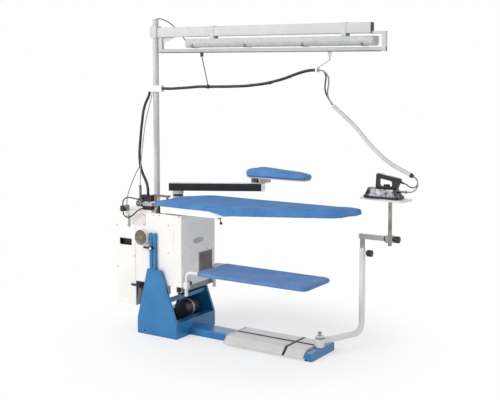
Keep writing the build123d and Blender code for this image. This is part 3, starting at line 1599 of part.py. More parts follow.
tray_path_points = [
    (tray_leg_x, -tray_half_width, tray_leg_bottom), (tray_leg_x, -tray_half_width, tray_level),
    (tray_end_x, -tray_half_width, tray_level), (tray_end_x, tray_half_width, tray_level),
    (tray_leg_x, tray_half_width, tray_level), (tray_leg_x, tray_half_width, tray_leg_bottom),
]
tray_bends = [tray_bend_radius, tray_corner_radius, tray_corner_radius, tray_bend_radius]

# Garment tray: one bent tube and the cloth over it
with BuildPart() as tray_frame:
    with BuildLine() as tray_path:
        FilletPolyline(*tray_path_points, radius=tray_bends)
    with BuildSketch(Plane(origin=tray_path.line @ 0, z_dir=tray_path.line % 0)):
        Circle(tray_tube_radius)
    sweep()
save(tray_frame.part, "tray_frame")

cloth_top = tray_level + tray_tube_radius + tray_cloth_sheet
cloth_inner = tray_cloth_half_width - tray_cloth_sheet
with BuildPart() as tray_cloth:
    span_box((tray_cloth_start, tray_cloth_end), (-tray_cloth_half_width, tray_cloth_half_width),
             (cloth_top - tray_skirt, cloth_top))
    fillet(tray_cloth.edges().filter_by(Axis.X).group_by(Axis.Z)[-1], tray_cloth_edge)
    span_box((tray_cloth_start - cut_over, tray_cloth_end - tray_cloth_sheet), (-cloth_inner, cloth_inner),
             (cloth_top - tray_skirt - cut_over, cloth_top - tray_cloth_sheet), mode=Mode.SUBTRACT)
save(tray_cloth.part, "tray_cloth")

mast_back = rear_face - cabinet_wall
block_top = mast_block_bottom + mast_block_height
bundle_end = Vector(*drop_route[-1])

# Mast with its clamps, its cap and the hose block
with BuildPart() as mast:
    round_bar((mast_x, mast_y, mast_bottom), (mast_x, mast_y, mast_top), mast_radius)
    for level in mast_clamp_levels:
        span_box((mast_x - mast_clamp_width / 2, mast_x + mast_clamp_width / 2),
                 (mast_y - mast_clamp_front, mast_back),
                 (level - mast_clamp_height / 2, level + mast_clamp_height / 2))
    round_bar((mast_x, mast_y, mast_bottom - cut_over), (mast_x, mast_y, mast_top - mast_wall),
              mast_radius - mast_wall, mode=Mode.SUBTRACT)
    round_bar((mast_x, mast_y, mast_top), (mast_x, mast_y, mast_top + mast_cap), mast_radius + seat_gap)
    with BuildPart(mode=Mode.PRIVATE) as block:
        span_box((mast_block_left, mast_block_right), (mast_block_front, mast_y - mast_wall),
                 (mast_block_bottom, block_top))
        chamfer(block.edges().filter_by(Axis.Z), mast_block_edge)
        round_bar((bundle_end.X, bundle_end.Y, mast_block_bottom - cut_over),
                  (bundle_end.X, bundle_end.Y, bundle_end.Z), bundle_diameter / 2 + seat_gap,
                  mode=Mode.SUBTRACT)
        round_bar((mast_x, mast_y, mast_block_bottom - cut_over), (mast_x, mast_y, block_top + cut_over),
                  mast_radius, mode=Mode.SUBTRACT)
    add(block.part)
save(mast.part, "mast")

clamp_left, clamp_right = mast_x - beam_clamp_half, mast_x + beam_clamp_half
beam_top = beam_bottom + beam_height
beam_middle = middle(beam_bottom, beam_top)
rail_top = rail_bottom + rail_side
rail_y = (frame_y - rail_side / 2, frame_y + rail_side / 2)
left_leg_end = rail_left + rail_leg_width
right_leg_start = rail_right - rail_leg_width
return_top = rail_return_bottom + rail_return_height
lamp_top = lamp_bottom + lamp_height
bracket_y = beam_width / 2 + lamp_bracket_sheet
gusset_outline = [
    (left_leg_end, beam_bottom), (gusset_right, beam_bottom), (left_leg_end, beam_bottom - gusset_drop),
]

# Overhead frame: clamp on the mast, beam, hose rail on two legs and the lamp brackets
with BuildPart() as overhead_frame:
    span_box((clamp_left, clamp_right), (mast_y - beam_clamp_depth / 2, mast_y + beam_clamp_depth / 2),
             (beam_clamp_bottom, beam_clamp_top))
    fillet(overhead_frame.edges().filter_by(Axis.Z), corner_radius)
    round_bar((mast_x, mast_y, beam_clamp_bottom - cut_over), (mast_x, mast_y, beam_clamp_top + cut_over),
              mast_radius + running_gap, mode=Mode.SUBTRACT)
    for x in lamp_bracket_places:
        bracket_x = (x - lamp_bracket_width / 2, x + lamp_bracket_width / 2)
        span_box(bracket_x, (frame_y - bracket_y, frame_y + bracket_y),
                 (lamp_top, beam_top + lamp_bracket_sheet))
        span_box(bracket_x, (frame_y - beam_width / 2, frame_y + beam_width / 2),
                 (lamp_top + lamp_bracket_sheet, beam_top), mode=Mode.SUBTRACT)
    with BuildSketch(Plane.YZ.offset(clamp_right)):
        with Locations((frame_y, beam_middle)):
            RectangleRounded(beam_width, beam_height, corner_radius)
            RectangleRounded(beam_width - 2 * beam_wall, beam_height - 2 * beam_wall,
                             corner_radius - beam_wall, mode=Mode.SUBTRACT)
    extrude(amount=beam_right - clamp_right)
    with BuildSketch(Plane.YZ.offset(beam_right)):
        with Locations((frame_y, beam_middle)):
            RectangleRounded(beam_width, beam_height, corner_radius)
    extrude(amount=beam_cap)
    round_bar((beam_cable_hole_x, frame_y, beam_middle), (beam_cable_hole_x, frame_y, beam_top + cut_over),
              beam_wall, mode=Mode.SUBTRACT)
    with BuildSketch(Plane.YZ.offset(rail_left)):
        with Locations((frame_y, middle(rail_bottom, rail_top))):
            Rectangle(rail_side, rail_side)
            Rectangle(rail_side - 2 * rail_wall, rail_side - 2 * rail_wall, mode=Mode.SUBTRACT)
        with Locations((frame_y, rail_bottom)):
            Rectangle(rail_slot, rail_side, mode=Mode.SUBTRACT)
    extrude(amount=rail_right - rail_left)
    span_box((rail_left, left_leg_end), rail_y, (rail_top, beam_bottom))
    span_box((right_leg_start, rail_right), rail_y, (rail_top, rail_return_bottom))
    span_box((beam_right + beam_cap, rail_right), rail_y, (rail_return_bottom, return_top))
    with BuildSketch(Plane.XZ.offset(-(frame_y + gusset_sheet / 2))):
        with BuildLine():
            Polyline(*gusset_outline, close=True)
        make_face()
    extrude(amount=gusset_sheet)
save(overhead_frame.part, "overhead_frame")


def lamp_section(plane, growth):
    """Gives the section of the lamp, grown outwards all round."""
    half = lamp_depth / 2 + growth
    corners = [
        (frame_y - half, lamp_bottom - growth), (frame_y + half, lamp_bottom - growth),
        (frame_y + half, lamp_top), (frame_y - half, lamp_top),
    ]
    rounds = [lamp_radius + growth, lamp_radius + growth, lamp_tray_radius, lamp_tray_radius]
    with BuildSketch(plane) as section:
        with BuildLine():
            FilletPolyline(*corners, radius=rounds, close=True)
        make_face()
    return section.sketch


def lamp_bar(start, end, growth):
    """Gives a length of the lamp section."""
    with BuildPart() as bar:
        extrude(to_extrude=lamp_section(Plane.YZ.offset(start), growth), amount=end - start)
    return bar.part


tray_start, tray_stop = lamp_left + lamp_end, lamp_right - lamp_end
lamp_y = (frame_y - lamp_depth, frame_y + lamp_depth)
lamp_inner = lamp_depth / 2 - lamp_tray_radius

# Lamp: tray with its end pieces, tube and clips, and the clear cover between them
with BuildPart() as lamp_body:
    add(lamp_bar(tray_start, tray_stop, 0))
    add(lamp_bar(tray_start, tray_stop, -lamp_wall), mode=Mode.SUBTRACT)
    span_box((tray_start, tray_stop), lamp_y, (lamp_bottom - cut_over, lamp_split), mode=Mode.SUBTRACT)
    span_box((tray_start, tray_stop), (frame_y - lamp_inner, frame_y + lamp_inner),
             (lamp_top - lamp_wall, lamp_top))
    add(lamp_bar(lamp_left, tray_start, 0))
    add(lamp_bar(tray_stop, lamp_right, 0))
    round_bar((tray_start, frame_y, lamp_tube_level), (tray_stop, frame_y, lamp_tube_level),
              lamp_tube_radius)
save(lamp_body.part, "lamp_body")

with BuildPart() as lamp_cover:
    add(lamp_bar(tray_start, tray_stop, 0))
    add(lamp_bar(tray_start - cut_over, tray_stop + cut_over, -lamp_wall), mode=Mode.SUBTRACT)
    span_box((tray_start, tray_stop), lamp_y, (lamp_split, lamp_top + cut_over), mode=Mode.SUBTRACT)
    for x in lamp_clip_places:
        clip_x = (x - lamp_clip_width / 2, x + lamp_clip_width / 2)
        add(lamp_bar(clip_x[0], clip_x[1], lamp_clip_proud))
        add(lamp_bar(clip_x[0], clip_x[1], -lamp_wall), mode=Mode.SUBTRACT)
        span_box(clip_x, lamp_y, (lamp_split, lamp_top + cut_over), mode=Mode.SUBTRACT)
save(lamp_cover.part, "lamp_cover")

lip_top = rail_bottom + rail_wall
head_top = lip_top + trolley_head_height
eye_level = rail_bottom - trolley_drop
bundle_radius = bundle_diameter / 2


def trolley(x):
    """Gives a rail trolley with its neck and the eye plate below the rail."""
    with BuildPart() as piece:
        span_box((x - trolley_length / 2, x + trolley_length / 2),
                 (frame_y - trolley_head_width / 2, frame_y + trolley_head_width / 2), (lip_top, head_top))
        span_box((x - trolley_length / 2, x + trolley_length / 2),
                 (frame_y - trolley_neck / 2, frame_y + trolley_neck / 2), (eye_level, lip_top))
    return piece.part


# Trolley, hanger rod and tie of the near hose hanger
with BuildPart() as near_hanger:
    add(trolley(trolley_near_x))
    round_bar((trolley_near_x, frame_y, eye_level), (near_tie_x, frame_y, near_tie_z + bundle_radius),
              hanger_radius)
    round_bar((near_tie_x - tie_length / 2, frame_y, near_tie_z),
              (near_tie_x + tie_length / 2, frame_y, near_tie_z), bundle_radius + seat_gap + tie_wall)
    round_bar((near_tie_x - tie_length, frame_y, near_tie_z), (near_tie_x + tie_length, frame_y, near_tie_z),
              bundle_radius + seat_gap, mode=Mode.SUBTRACT)
save(near_hanger.part, "near_hose_hanger")

clip_x = middle(clip_start, clip_end)
strap_line = [
    (trolley_far_x, eye_level), (trolley_far_x, eye_level - trolley_drop),
    (clip_x, clip_z + clip_height / 2),
]

# Trolley, strap and hose clip of the far hose hanger
with BuildPart() as far_hanger:
    add(trolley(trolley_far_x))
    extrude(to_extrude=folded(Plane.XZ.offset(-(frame_y + strap_width / 2)), strap_line, corner_radius,
                              strap_sheet), amount=strap_width)
    span_box((clip_start, clip_end), (frame_y - clip_width / 2, frame_y + clip_width / 2),
             (clip_z - clip_height / 2, clip_z + clip_height / 2))
    fillet(far_hanger.edges().filter_by(Axis.X).group_by(Axis.Z)[0], corner_radius)
save(far_hanger.part, "far_hose_hanger")


def corner_radii(route):
    """Gives each corner of a route the radius that its two runs allow."""
    points = [Vector(*point) for point in route]
    radii = []
    for before, corner, after in zip(points, points[1:], points[2:]):
        into, away = corner - before, after - corner
        half_turn = radians(into.get_angle(away)) / 2
        radii.append(0.45 * min(into.length, away.length) / tan(half_turn))
    return radii


def cord_tube(name, route, diameter):
    """Makes the tube of a cord along its route and prints how it bends."""
    radii = corner_radii(route)
    with BuildPart() as cord:
        with BuildLine() as path:
            FilletPolyline(*route, radius=radii)
        with BuildSketch(Plane(origin=path.line @ 0, z_dir=path.line % 0)):
            Circle(diameter / 2)
        sweep()
    length = path.wires()[0].length
    expected = pi * diameter**2 / 4 * length
    print(f"{name}: length {length:.0f}, least radius {min(radii):.0f} for diameter {diameter},"
          f" volume over section times length {cord.part.volume / expected:.4f}")
    save(cord.part, name)


cable_out, hose_out = cap_end + cap_side, cap_end - cap_side
run_out = cap_run * end_cap_run_out
iron_cable_route = [tuple(cable_out), tuple(cable_out + run_out)] + iron_cable_bends
steam_hose_route = [tuple(hose_out), tuple(hose_out + run_out)] + steam_hose_bends
cord_tube("bundle_drop", drop_route, bundle_diameter)
cord_tube("bundle_span", span_route, bundle_diameter)
cord_tube("control_cable", control_route, control_cable_diameter)
cord_tube("hose_strand_a", strand_a_route, strand_diameter)
cord_tube("hose_strand_b", strand_b_route, strand_diameter)
cord_tube("sleeve_upper", sleeve_upper_route, sleeve_diameter)
cord_tube("sleeve_middle", sleeve_middle_route, sleeve_diameter)
cord_tube("sleeve_lower", sleeve_lower_route, sleeve_diameter)
cord_tube("iron_cable", iron_cable_route, iron_cable_diameter)
cord_tube("steam_hose", steam_hose_route, small_hose_diameter)
cord_tube("valve_loop", valve_loop_route, small_hose_diameter)
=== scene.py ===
import math

import bmesh
import bpy
from mathutils import Matrix, Vector, noise


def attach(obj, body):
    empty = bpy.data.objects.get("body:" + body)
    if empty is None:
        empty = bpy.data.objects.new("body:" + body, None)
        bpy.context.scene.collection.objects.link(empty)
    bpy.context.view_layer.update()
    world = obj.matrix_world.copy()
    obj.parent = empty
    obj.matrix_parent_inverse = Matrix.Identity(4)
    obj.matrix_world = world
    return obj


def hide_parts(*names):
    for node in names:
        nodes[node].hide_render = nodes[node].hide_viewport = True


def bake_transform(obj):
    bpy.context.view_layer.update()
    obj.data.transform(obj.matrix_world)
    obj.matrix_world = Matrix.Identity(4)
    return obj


# Vacuum ironing table with boiler: its looks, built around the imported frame, in metres.

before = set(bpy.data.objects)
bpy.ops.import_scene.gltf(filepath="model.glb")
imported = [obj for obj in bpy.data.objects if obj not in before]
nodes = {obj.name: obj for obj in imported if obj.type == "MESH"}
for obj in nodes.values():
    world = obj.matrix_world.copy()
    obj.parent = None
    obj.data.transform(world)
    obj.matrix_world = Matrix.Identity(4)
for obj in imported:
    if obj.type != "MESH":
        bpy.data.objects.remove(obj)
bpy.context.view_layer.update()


def screen(red, green, blue):
    """Gives the linear colour of an eight-bit screen colour."""
    channels = []
    for value in (red, green, blue):
        share = value / 255
        channels.append(share / 12.92 if share <= 0.04045 else ((share + 0.055) / 1.055) ** 2.4)
    return (*channels, 1)


# Shared effects: each group puts out masks and normals that change over the surface

peel_depth = 0.0004
thread_depth = 0.0005
line_depth = 0.0002
grain_depth = 0.0003
thread_waver = 0.6
line_stretch = 0.04


def start_group(name, inputs, outputs):
    """Starts a shader node group with named number inputs and the given outputs."""
    group = bpy.data.node_groups.new(name, "ShaderNodeTree")
    for label, value in inputs.items():
        socket = group.interface.new_socket(name=label, in_out="INPUT",
                                            socket_type="NodeSocketFloat")
        socket.default_value = value
    for label, kind in outputs.items():
        group.interface.new_socket(name=label, in_out="OUTPUT", socket_type=kind)
    return group, group.nodes.new("NodeGroupInput"), group.nodes.new("NodeGroupOutput")


def noise_node(tree, detail, roughness):
    """Adds a noise texture that reads the piece's own coordinates."""
    place = tree.nodes.new("ShaderNodeTexCoord")
    texture = tree.nodes.new("ShaderNodeTexNoise")
    texture.inputs["Detail"].default_value = detail
    texture.inputs["Roughness"].default_value = roughness
    tree.links.new(place.outputs["Object"], texture.inputs["Vector"])
    return texture


def bump_from(tree, height, strength, distance):
    """Adds a bump node that reads a height and gives its normal."""
    bump = tree.nodes.new("ShaderNodeBump")
    tree.links.new(height, bump.inputs["Height"])
    tree.links.new(strength, bump.inputs["Strength"])
    bump.inputs["Distance"].default_value = distance
    return bump.outputs["Normal"]


def make_powder_coat():
    """Builds the orange-peel relief and the faint cloudiness of powder coat."""
    inputs = {"Grain": 420.0, "Relief": 0.05, "Cloud": 6.0}
    outputs = {"Clouds": "NodeSocketFloat", "Relief normal": "NodeSocketVector"}
    group, given, result = start_group("powder_coat", inputs, outputs)
    peel = noise_node(group, 2, 0.5)
    clouds = noise_node(group, 4, 0.6)
    group.links.new(given.outputs["Grain"], peel.inputs["Scale"])
    group.links.new(given.outputs["Cloud"], clouds.inputs["Scale"])
    group.links.new(clouds.outputs["Fac"], result.inputs["Clouds"])
    normal = bump_from(group, peel.outputs["Fac"], given.outputs["Relief"], peel_depth)
    group.links.new(normal, result.inputs["Relief normal"])
    return group


def make_weave():
    """Builds a plain weave of crossing threads with slubs, and the cloudiness of washed cloth."""
    inputs = {"Threads": 420.0, "Relief": 0.35, "Cloud": 9.0}
    outputs = {"Threads mask": "NodeSocketFloat", "Clouds": "NodeSocketFloat",
               "Relief normal": "NodeSocketVector"}
    group, given, result = start_group("weave", inputs, outputs)
    place = group.nodes.new("ShaderNodeTexCoord")
    waves = []
    for direction in ("X", "Y"):
        wave = group.nodes.new("ShaderNodeTexWave")
        wave.bands_direction = direction
        wave.inputs["Distortion"].default_value = thread_waver
        wave.inputs["Detail Scale"].default_value = 2
        group.links.new(place.outputs["Object"], wave.inputs["Vector"])
        group.links.new(given.outputs["Threads"], wave.inputs["Scale"])
        waves.append(wave)
    crossing = group.nodes.new("ShaderNodeMath")
    crossing.operation = "MAXIMUM"
    for number, wave in enumerate(waves):
        group.links.new(wave.outputs["Fac"], crossing.inputs[number])
    clouds = noise_node(group, 5, 0.55)
    group.links.new(given.outputs["Cloud"], clouds.inputs["Scale"])
    group.links.new(crossing.outputs["Value"], result.inputs["Threads mask"])
    group.links.new(clouds.outputs["Fac"], result.inputs["Clouds"])
    normal = bump_from(group, crossing.outputs["Value"], given.outputs["Relief"], thread_depth)
    group.links.new(normal, result.inputs["Relief normal"])
    return group


def make_brushing():
    """Builds the fine lines and smudges of drawn or turned metal, and painted reflections on
    chrome.
    """
    inputs = {"Lines": 700.0, "Relief": 0.12, "Smudge and reflection scale": 14.0}
    outputs = {"Smudges and reflections": "NodeSocketFloat", "Relief normal": "NodeSocketVector"}
    group, given, result = start_group("brushing", inputs, outputs)
    place = group.nodes.new("ShaderNodeTexCoord")
    stretch = group.nodes.new("ShaderNodeMapping")
    stretch.inputs["Scale"].default_value = (1, 1, line_stretch)
    lines = group.nodes.new("ShaderNodeTexNoise")
    smudges_and_reflections = noise_node(group, 3, 0.5)
    group.links.new(place.outputs["Object"], stretch.inputs["Vector"])
    group.links.new(stretch.outputs["Vector"], lines.inputs["Vector"])
    group.links.new(given.outputs["Lines"], lines.inputs["Scale"])
    group.links.new(given.outputs["Smudge and reflection scale"], smudges_and_reflections.inputs["Scale"])
    group.links.new(smudges_and_reflections.outputs["Fac"], result.inputs["Smudges and reflections"])
    normal = bump_from(group, lines.outputs["Fac"], given.outputs["Relief"], line_depth)
    group.links.new(normal, result.inputs["Relief normal"])
    return group


def make_moulding():
    """Builds the fine matt grain of moulded plastic and rubber, and its dust."""
    inputs = {"Grain": 1600.0, "Relief": 0.15, "Dust": 22.0}
    outputs = {"Dust mask": "NodeSocketFloat", "Relief normal": "NodeSocketVector"}
    group, given, result = start_group("moulding", inputs, outputs)
    grain = noise_node(group, 3, 0.6)
    dust = noise_node(group, 6, 0.7)
    group.links.new(given.outputs["Grain"], grain.inputs["Scale"])
    group.links.new(given.outputs["Dust"], dust.inputs["Scale"])
    group.links.new(dust.outputs["Fac"], result.inputs["Dust mask"])
    normal = bump_from(group, grain.outputs["Fac"], given.outputs["Relief"], grain_depth)
    group.links.new(normal, result.inputs["Relief normal"])
    return group


powder_coat = make_powder_coat()
weave = make_weave()
brushing = make_brushing()
moulding = make_moulding()

dark_until = 0.3
light_from = 0.7
cloth_roughness = (0.8, 0.95)
cloth_sheen = 0.06
cloth_shine = 0.2
cover_clearness = 0.3
cover_refraction = 1.46


def make_material(name, effect, values, dark, light, rough, metal=0, coat=0, sheen=0):
    """Builds a material whose colour and gloss run between two values by an effect's first mask."""
    material = bpy.data.materials.new(name)
    material.use_nodes = True
    tree = material.node_tree
    shader = tree.nodes["Principled BSDF"]
    placed = tree.nodes.new("ShaderNodeGroup")
    placed.node_tree = effect
    for label, value in values.items():
        placed.inputs[label].default_value = value
    mask = placed.outputs["Clouds"] if "Clouds" in placed.outputs else placed.outputs[0]
    colours = tree.nodes.new("ShaderNodeValToRGB")
    colours.color_ramp.elements[0].position = dark_until
    colours.color_ramp.elements[0].color = dark
    colours.color_ramp.elements[1].position = light_from
    colours.color_ramp.elements[1].color = light
    gloss = tree.nodes.new("ShaderNodeMapRange")
    gloss.inputs["To Min"].default_value = rough[0]
    gloss.inputs["To Max"].default_value = rough[1]
    tree.links.new(mask, colours.inputs["Fac"])
    tree.links.new(mask, gloss.inputs["Value"])
    tree.links.new(colours.outputs["Color"], shader.inputs["Base Color"])
    tree.links.new(gloss.outputs["Result"], shader.inputs["Roughness"])
    tree.links.new(placed.outputs["Relief normal"], shader.inputs["Normal"])
    shader.inputs["Metallic"].default_value = metal
    shader.inputs["Coat Weight"].default_value = coat
    shader.inputs["Sheen Weight"].default_value = sheen
    return material


def painted(name, dark, light, rough=(0.3, 0.42), coat=0.15):
    """Makes a powder-coated metal."""
    return make_material(name, powder_coat, {}, screen(*dark), screen(*light), rough, coat=coat)


def metal(name, dark, light, rough, smudge_and_reflection_scale=14.0):
    """Makes a bare or plated metal."""
    values = {"Smudge and reflection scale": smudge_and_reflection_scale}
    return make_material(name, brushing, values, screen(*dark), screen(*light), rough, metal=1)


def moulded(name, dark, light, rough=(0.45, 0.6)):
    """Makes a moulded plastic or rubber."""
    return make_material(name, moulding, {}, screen(*dark), screen(*light), rough)


def woven(name, dark, light, threads=420.0, relief=0.35):
    """Makes a woven cloth."""
    values = {"Threads": threads, "Relief": relief}
    cloth = make_material(name, weave, values, screen(*dark), screen(*light), cloth_roughness,
                          sheen=cloth_sheen)
    shader = cloth.node_tree.nodes["Principled BSDF"]
    shader.inputs["Specular IOR Level"].default_value = cloth_shine
    return cloth


blue_paint = painted("blue_paint", (14, 106, 162), (28, 120, 176), (0.26, 0.36), 0.3)
white_paint = painted("white_paint", (232, 229, 226), (242, 240, 237))
board_white = painted("board_white", (240, 238, 236), (247, 246, 244))
grey_paint = painted("grey_paint", (190, 190, 190), (203, 203, 203))
# Grey of the rest's cross arm, also used as painted shade in the gap between the two cabinets.
arm_grey_and_gap_shade = painted("arm_grey_and_gap_shade", (150, 150, 148), (170, 170, 168))
rail_paint = painted("rail_paint", (176, 177, 178), (190, 191, 192))
tube_paint = painted("tube_paint", (218, 218, 218), (230, 230, 230))
pedal_paint = painted("pedal_paint", (204, 202, 199), (216, 214, 211))
black_paint = painted("black_paint", (17, 17, 18), (27, 26, 27), (0.4, 0.55), 0.05)
motor_paint = painted("motor_paint", (44, 47, 52), (60, 63, 68), (0.35, 0.5))
column_paint = painted("column_paint", (200, 186, 183), (218, 206, 203))
plate_paint = painted("plate_paint", (216, 208, 210), (228, 221, 223))
# Grey of the louvres and the cabinet floor, also used as painted shade on the underside of the
# overhead rail.
louvre_grey_and_rail_shade = painted("louvre_grey_and_rail_shade", (124, 120, 119), (148, 144, 142))
# Dark grey used only as painted shade in the slot along the rail's lower edge.
rail_slot_shade_paint = painted("rail_slot_shade_paint", (96, 96, 97), (120, 120, 121))
drum_paint = painted("drum_paint", (226, 222, 220), (238, 235, 233))
warm_bar = painted("warm_bar", (112, 102, 99), (150, 134, 130))
# Chrome of the iron's dome: its dark colour and wide dark-to-light smudges are painted reflection
# of its surroundings.
chrome_plate = metal("chrome_plate", (20, 21, 23), (112, 114, 117), (0.16, 0.34), 40.0)
satin_chrome = metal("satin_chrome", (150, 152, 155), (204, 206, 208), (0.12, 0.25))
drawn_steel = metal("drawn_steel", (118, 116, 110), (176, 173, 165), (0.2, 0.36))
dull_steel = metal("dull_steel", (120, 120, 118), (160, 160, 157), (0.35, 0.5))
cast_brass = metal("cast_brass", (118, 106, 82), (150, 138, 110), (0.32, 0.5))
oval_metal = metal("oval_metal", (136, 137, 140), (160, 161, 164), (0.35, 0.45))
black_moulding = moulded("black_moulding", (13, 13, 14), (26, 26, 27), (0.38, 0.52))
grey_moulding = moulded("grey_moulding", (130, 131, 132), (156, 157, 158))
lamp_grey = moulded("lamp_grey", (176, 177, 178), (196, 197, 198), (0.3, 0.4))
white_moulding = moulded("white_moulding", (228, 228, 227), (240, 240, 239), (0.3, 0.4))
grille_moulding = moulded("grille_moulding", (122, 112, 98), (158, 148, 132))
hose_rubber = moulded("hose_rubber", (13, 13, 15), (28, 28, 30), (0.42, 0.56))
light_cable_skin = moulded("light_cable_skin", (120, 121, 122), (158, 158, 158))
sight_tube = moulded("sight_tube", (146, 168, 158), (180, 196, 188), (0.12, 0.2))
board_cloth = woven("board_cloth", (68, 120, 180), (88, 142, 198))
sleeve_cloth = woven("sleeve_cloth", (80, 130, 186), (100, 150, 202))
tray_fabric = woven("tray_fabric", (86, 124, 180), (106, 144, 196))
seam_thread = woven("seam_thread", (58, 112, 176), (74, 130, 196), 900.0)
braid_skin = woven("braid_skin", (206, 205, 203), (226, 225, 223), 500.0, 0.25)


def make_cover_plastic():
    """Makes the ribbed clear plastic of the lamp cover."""
    material = make_material("cover_plastic", moulding, {"Grain": 300.0}, screen(196, 198, 199),
                             screen(214, 216, 217), (0.12, 0.2))
    shader = material.node_tree.nodes["Principled BSDF"]
    shader.inputs["Transmission Weight"].default_value = cover_clearness
    shader.inputs["IOR"].default_value = cover_refraction
    return material


cover_plastic = make_cover_plastic()


# Dressing of the carried pieces: a face takes the material of the last region that holds its middle

everywhere = 3000  # beyond every piece, in millimetres


def dress(name, base, *regions):
    """Gives a carried piece its base material and other materials inside boxes in millimetres."""
    piece = nodes[name]
    materials = piece.data.materials
    materials.clear()
    materials.append(base)
    for number, (material, low, high) in enumerate(regions, 1):
        materials.append(material)
        low, high = Vector(low) / 1000, Vector(high) / 1000
        for face in piece.data.polygons:
            if all(low[axis] <= face.center[axis] <= high[axis] for axis in range(3)):
                face.material_index = number


def dress_frame():
    """Dresses the stand, the rail, the pedals and the iron rest."""
    dress("stand", blue_paint)
    dress("foot_rail", blue_paint,
          (drawn_steel, (1020, -24, 48.3), (1070, 24, 150)),
          (black_moulding, (1020, -24, 118), (1070, 24, 150)))
    dress("pedal_hinges", black_paint,
          (pedal_paint, (455, -everywhere, 0), (470, everywhere, 60)),
          (pedal_paint, (1008.5, -everywhere, 0), (1020, everywhere, 60)))
    for name in ("pedal_front_long", "pedal_front_short", "pedal_rear_long", "pedal_rear_short"):
        dress(name, pedal_paint)
    dress("rest_hub_nut", tube_paint, (black_moulding, (1000, -40, 101), (1100, 40, 109)))
    dress("rest_swing_arm", tube_paint)
    dress("rest_height_knob", black_moulding)
    dress("rest_cross_arm", arm_grey_and_gap_shade,
          (black_moulding, (1313.5, 200, 600), (1322.5, 400, 750)),
          (drawn_steel, (1322.5, 200, 600), (1400, 400, 750)),
          (drawn_steel, (1100, 200, 300), (1200, 400, 658)))
    dress("rest_clamp_knob", black_moulding)
    dress("rest_post", drawn_steel, (tube_paint, (1100, 200, 894), (1500, 500, 960)))


def dress_cabinets():
    """Dresses the cabinet, the boiler cabinet and what is fixed to them."""
    dress("cabinet", white_paint,
          (louvre_grey_and_rail_shade, (160, 0, 386), (185, 148, 518)),
          (board_white, (175.2, -180, 717), (180, 60, 754)),
          (plate_paint, (-210, -185, 685), (-102, -180.2, 764)),
          (dull_steel, (-60, -183, 754), (165, -180.2, 768)),
          (dull_steel, (70, -185, 525), (90, -182.2, 712)),
          (dull_steel, (175.2, -95, 520), (180, 110, 565)),
          (dull_steel, (-206, -186, 688), (-104, -183.2, 762)),
          (white_moulding, (170, -170, 316), (210, -132, 360)),
          (white_moulding, (170, 132, 316), (210, 170, 360)),
          (dull_steel, (-56, -215, 340), (-10, -180.2, 580)),
          (warm_bar, (-190, -10, 772), (-56, 30, 860)),
          (black_moulding, (-45, -175, 771.5), (5, -125, 820)))
    dress("cabinet_floor", louvre_grey_and_rail_shade)
    dress("boiler_cabinet", white_paint,
          (dull_steel, (-340, -185, 400), (-190, -180.2, 680)),
          (black_moulding, (-316, -182, 548), (-216, -150, 594)),
          (sight_tube, (-245, -197, 670), (-222, -180.2, 750)),
          (black_paint, (-187.5, -200, 190), (-120, -130, 330)))
    dress("boiler_lid", white_paint,
          (grey_moulding, (-275, -225, 771.5), (-245, -160, 810)),
          (black_moulding, (-275, -225, 771.5), (-245, -200, 810)))
    dress("boiler_tank", dull_steel)
    dress("exhaust_grille", drum_paint, (grille_moulding, (-159.8, -219, 569), (-64, -215.4, 665)))
    dress("oval_plate", oval_metal)
    dress("lock_lever", black_moulding)
    dress("drain_lever", black_moulding)
    dress("fan_housing", motor_paint)
    dress("fan_motor", motor_paint, (pedal_paint, (-60, 84.5, 60), (80, 98, 190)))
    dress("fan_impeller", dull_steel)
    dress("valve_stack", black_moulding,
          (white_paint, (-140, -170, 770), (-64, -128, 785)),
          (satin_chrome, (-139, -164, 809.5), (-64, -136, 838.5)),
          (satin_chrome, (-190, -175, 790), (-138.2, -125, 852)))
    dress("gland_spring", dull_steel)


def dress_top():
    """Dresses the board pan, the swivel arm, the tray tube and the overhead parts."""
    dress("board_pan", board_white)
    dress("air_lever", drawn_steel, (black_moulding, (470, -260, 740), (520, -190, 770)))
    dress("swivel_foot", grey_paint,
          (column_paint, (-122, 98, 784), (-48, 172, 841)),
          (black_moulding, (-122, 98, 842), (-48, 172, 856)))
    dress("swivel_arm", black_paint,
          (grey_paint, (-200, 0, 925.4), (500, 500, 927)),
          (white_moulding, (386, 380, 870), (440, 440, 927)))
    dress("sleeve_bracket", grey_paint)
    dress("tray_frame", tube_paint)
    dress("tray_knob", black_moulding)
    dress("mast", grey_paint,
          (white_moulding, (-323, 117, 1516), (-203, 153, 1560)),
          (white_moulding, (-300, 130, 1991.5), (-250, 180, 2000)))
    dress("overhead_frame", grey_paint,
          (black_moulding, (1268.2, 130, 1869), (1283, 190, 1934)),
          (rail_paint, (-242, 146.5, 1776), (1345, 173.5, 1795)),
          # The rail's lower band takes the louvre grey: painted shade under the rail.
          (louvre_grey_and_rail_shade, (-242, 146.5, 1766), (1345, 173.5, 1775.9)))
    clips = [(dull_steel, (x - 8.6, 114, 1799), (x + 8.6, 206, 1858)) for x in (46, 444, 849, 1237)]
    dress("lamp_body", lamp_grey, *clips)
    dress("lamp_cover", cover_plastic, *clips)
    dress("near_hose_hanger", black_paint, (black_moulding, (120, 140, 1540), (152, 180, 1570)))
    dress("far_hose_hanger", grey_paint, (white_moulding, (924, 139, 1640), (936, 181, 1675)))
    dress("hose_end_cap", black_moulding)


def dress_iron():
    """Dresses the iron."""
    dress("iron_sole", black_paint)
    dress("iron_dome", chrome_plate, (cast_brass, (1398, 325, 940), (1440, 355, 963)))
    dress("iron_handle", black_moulding)
    dress("iron_dial", black_moulding)
    dress("iron_steam_button", grey_moulding)


dress_frame()
dress_cabinets()
dress_top()
dress_iron()


# Making of meshes

curve_steps = 12
cord_roundness = 5


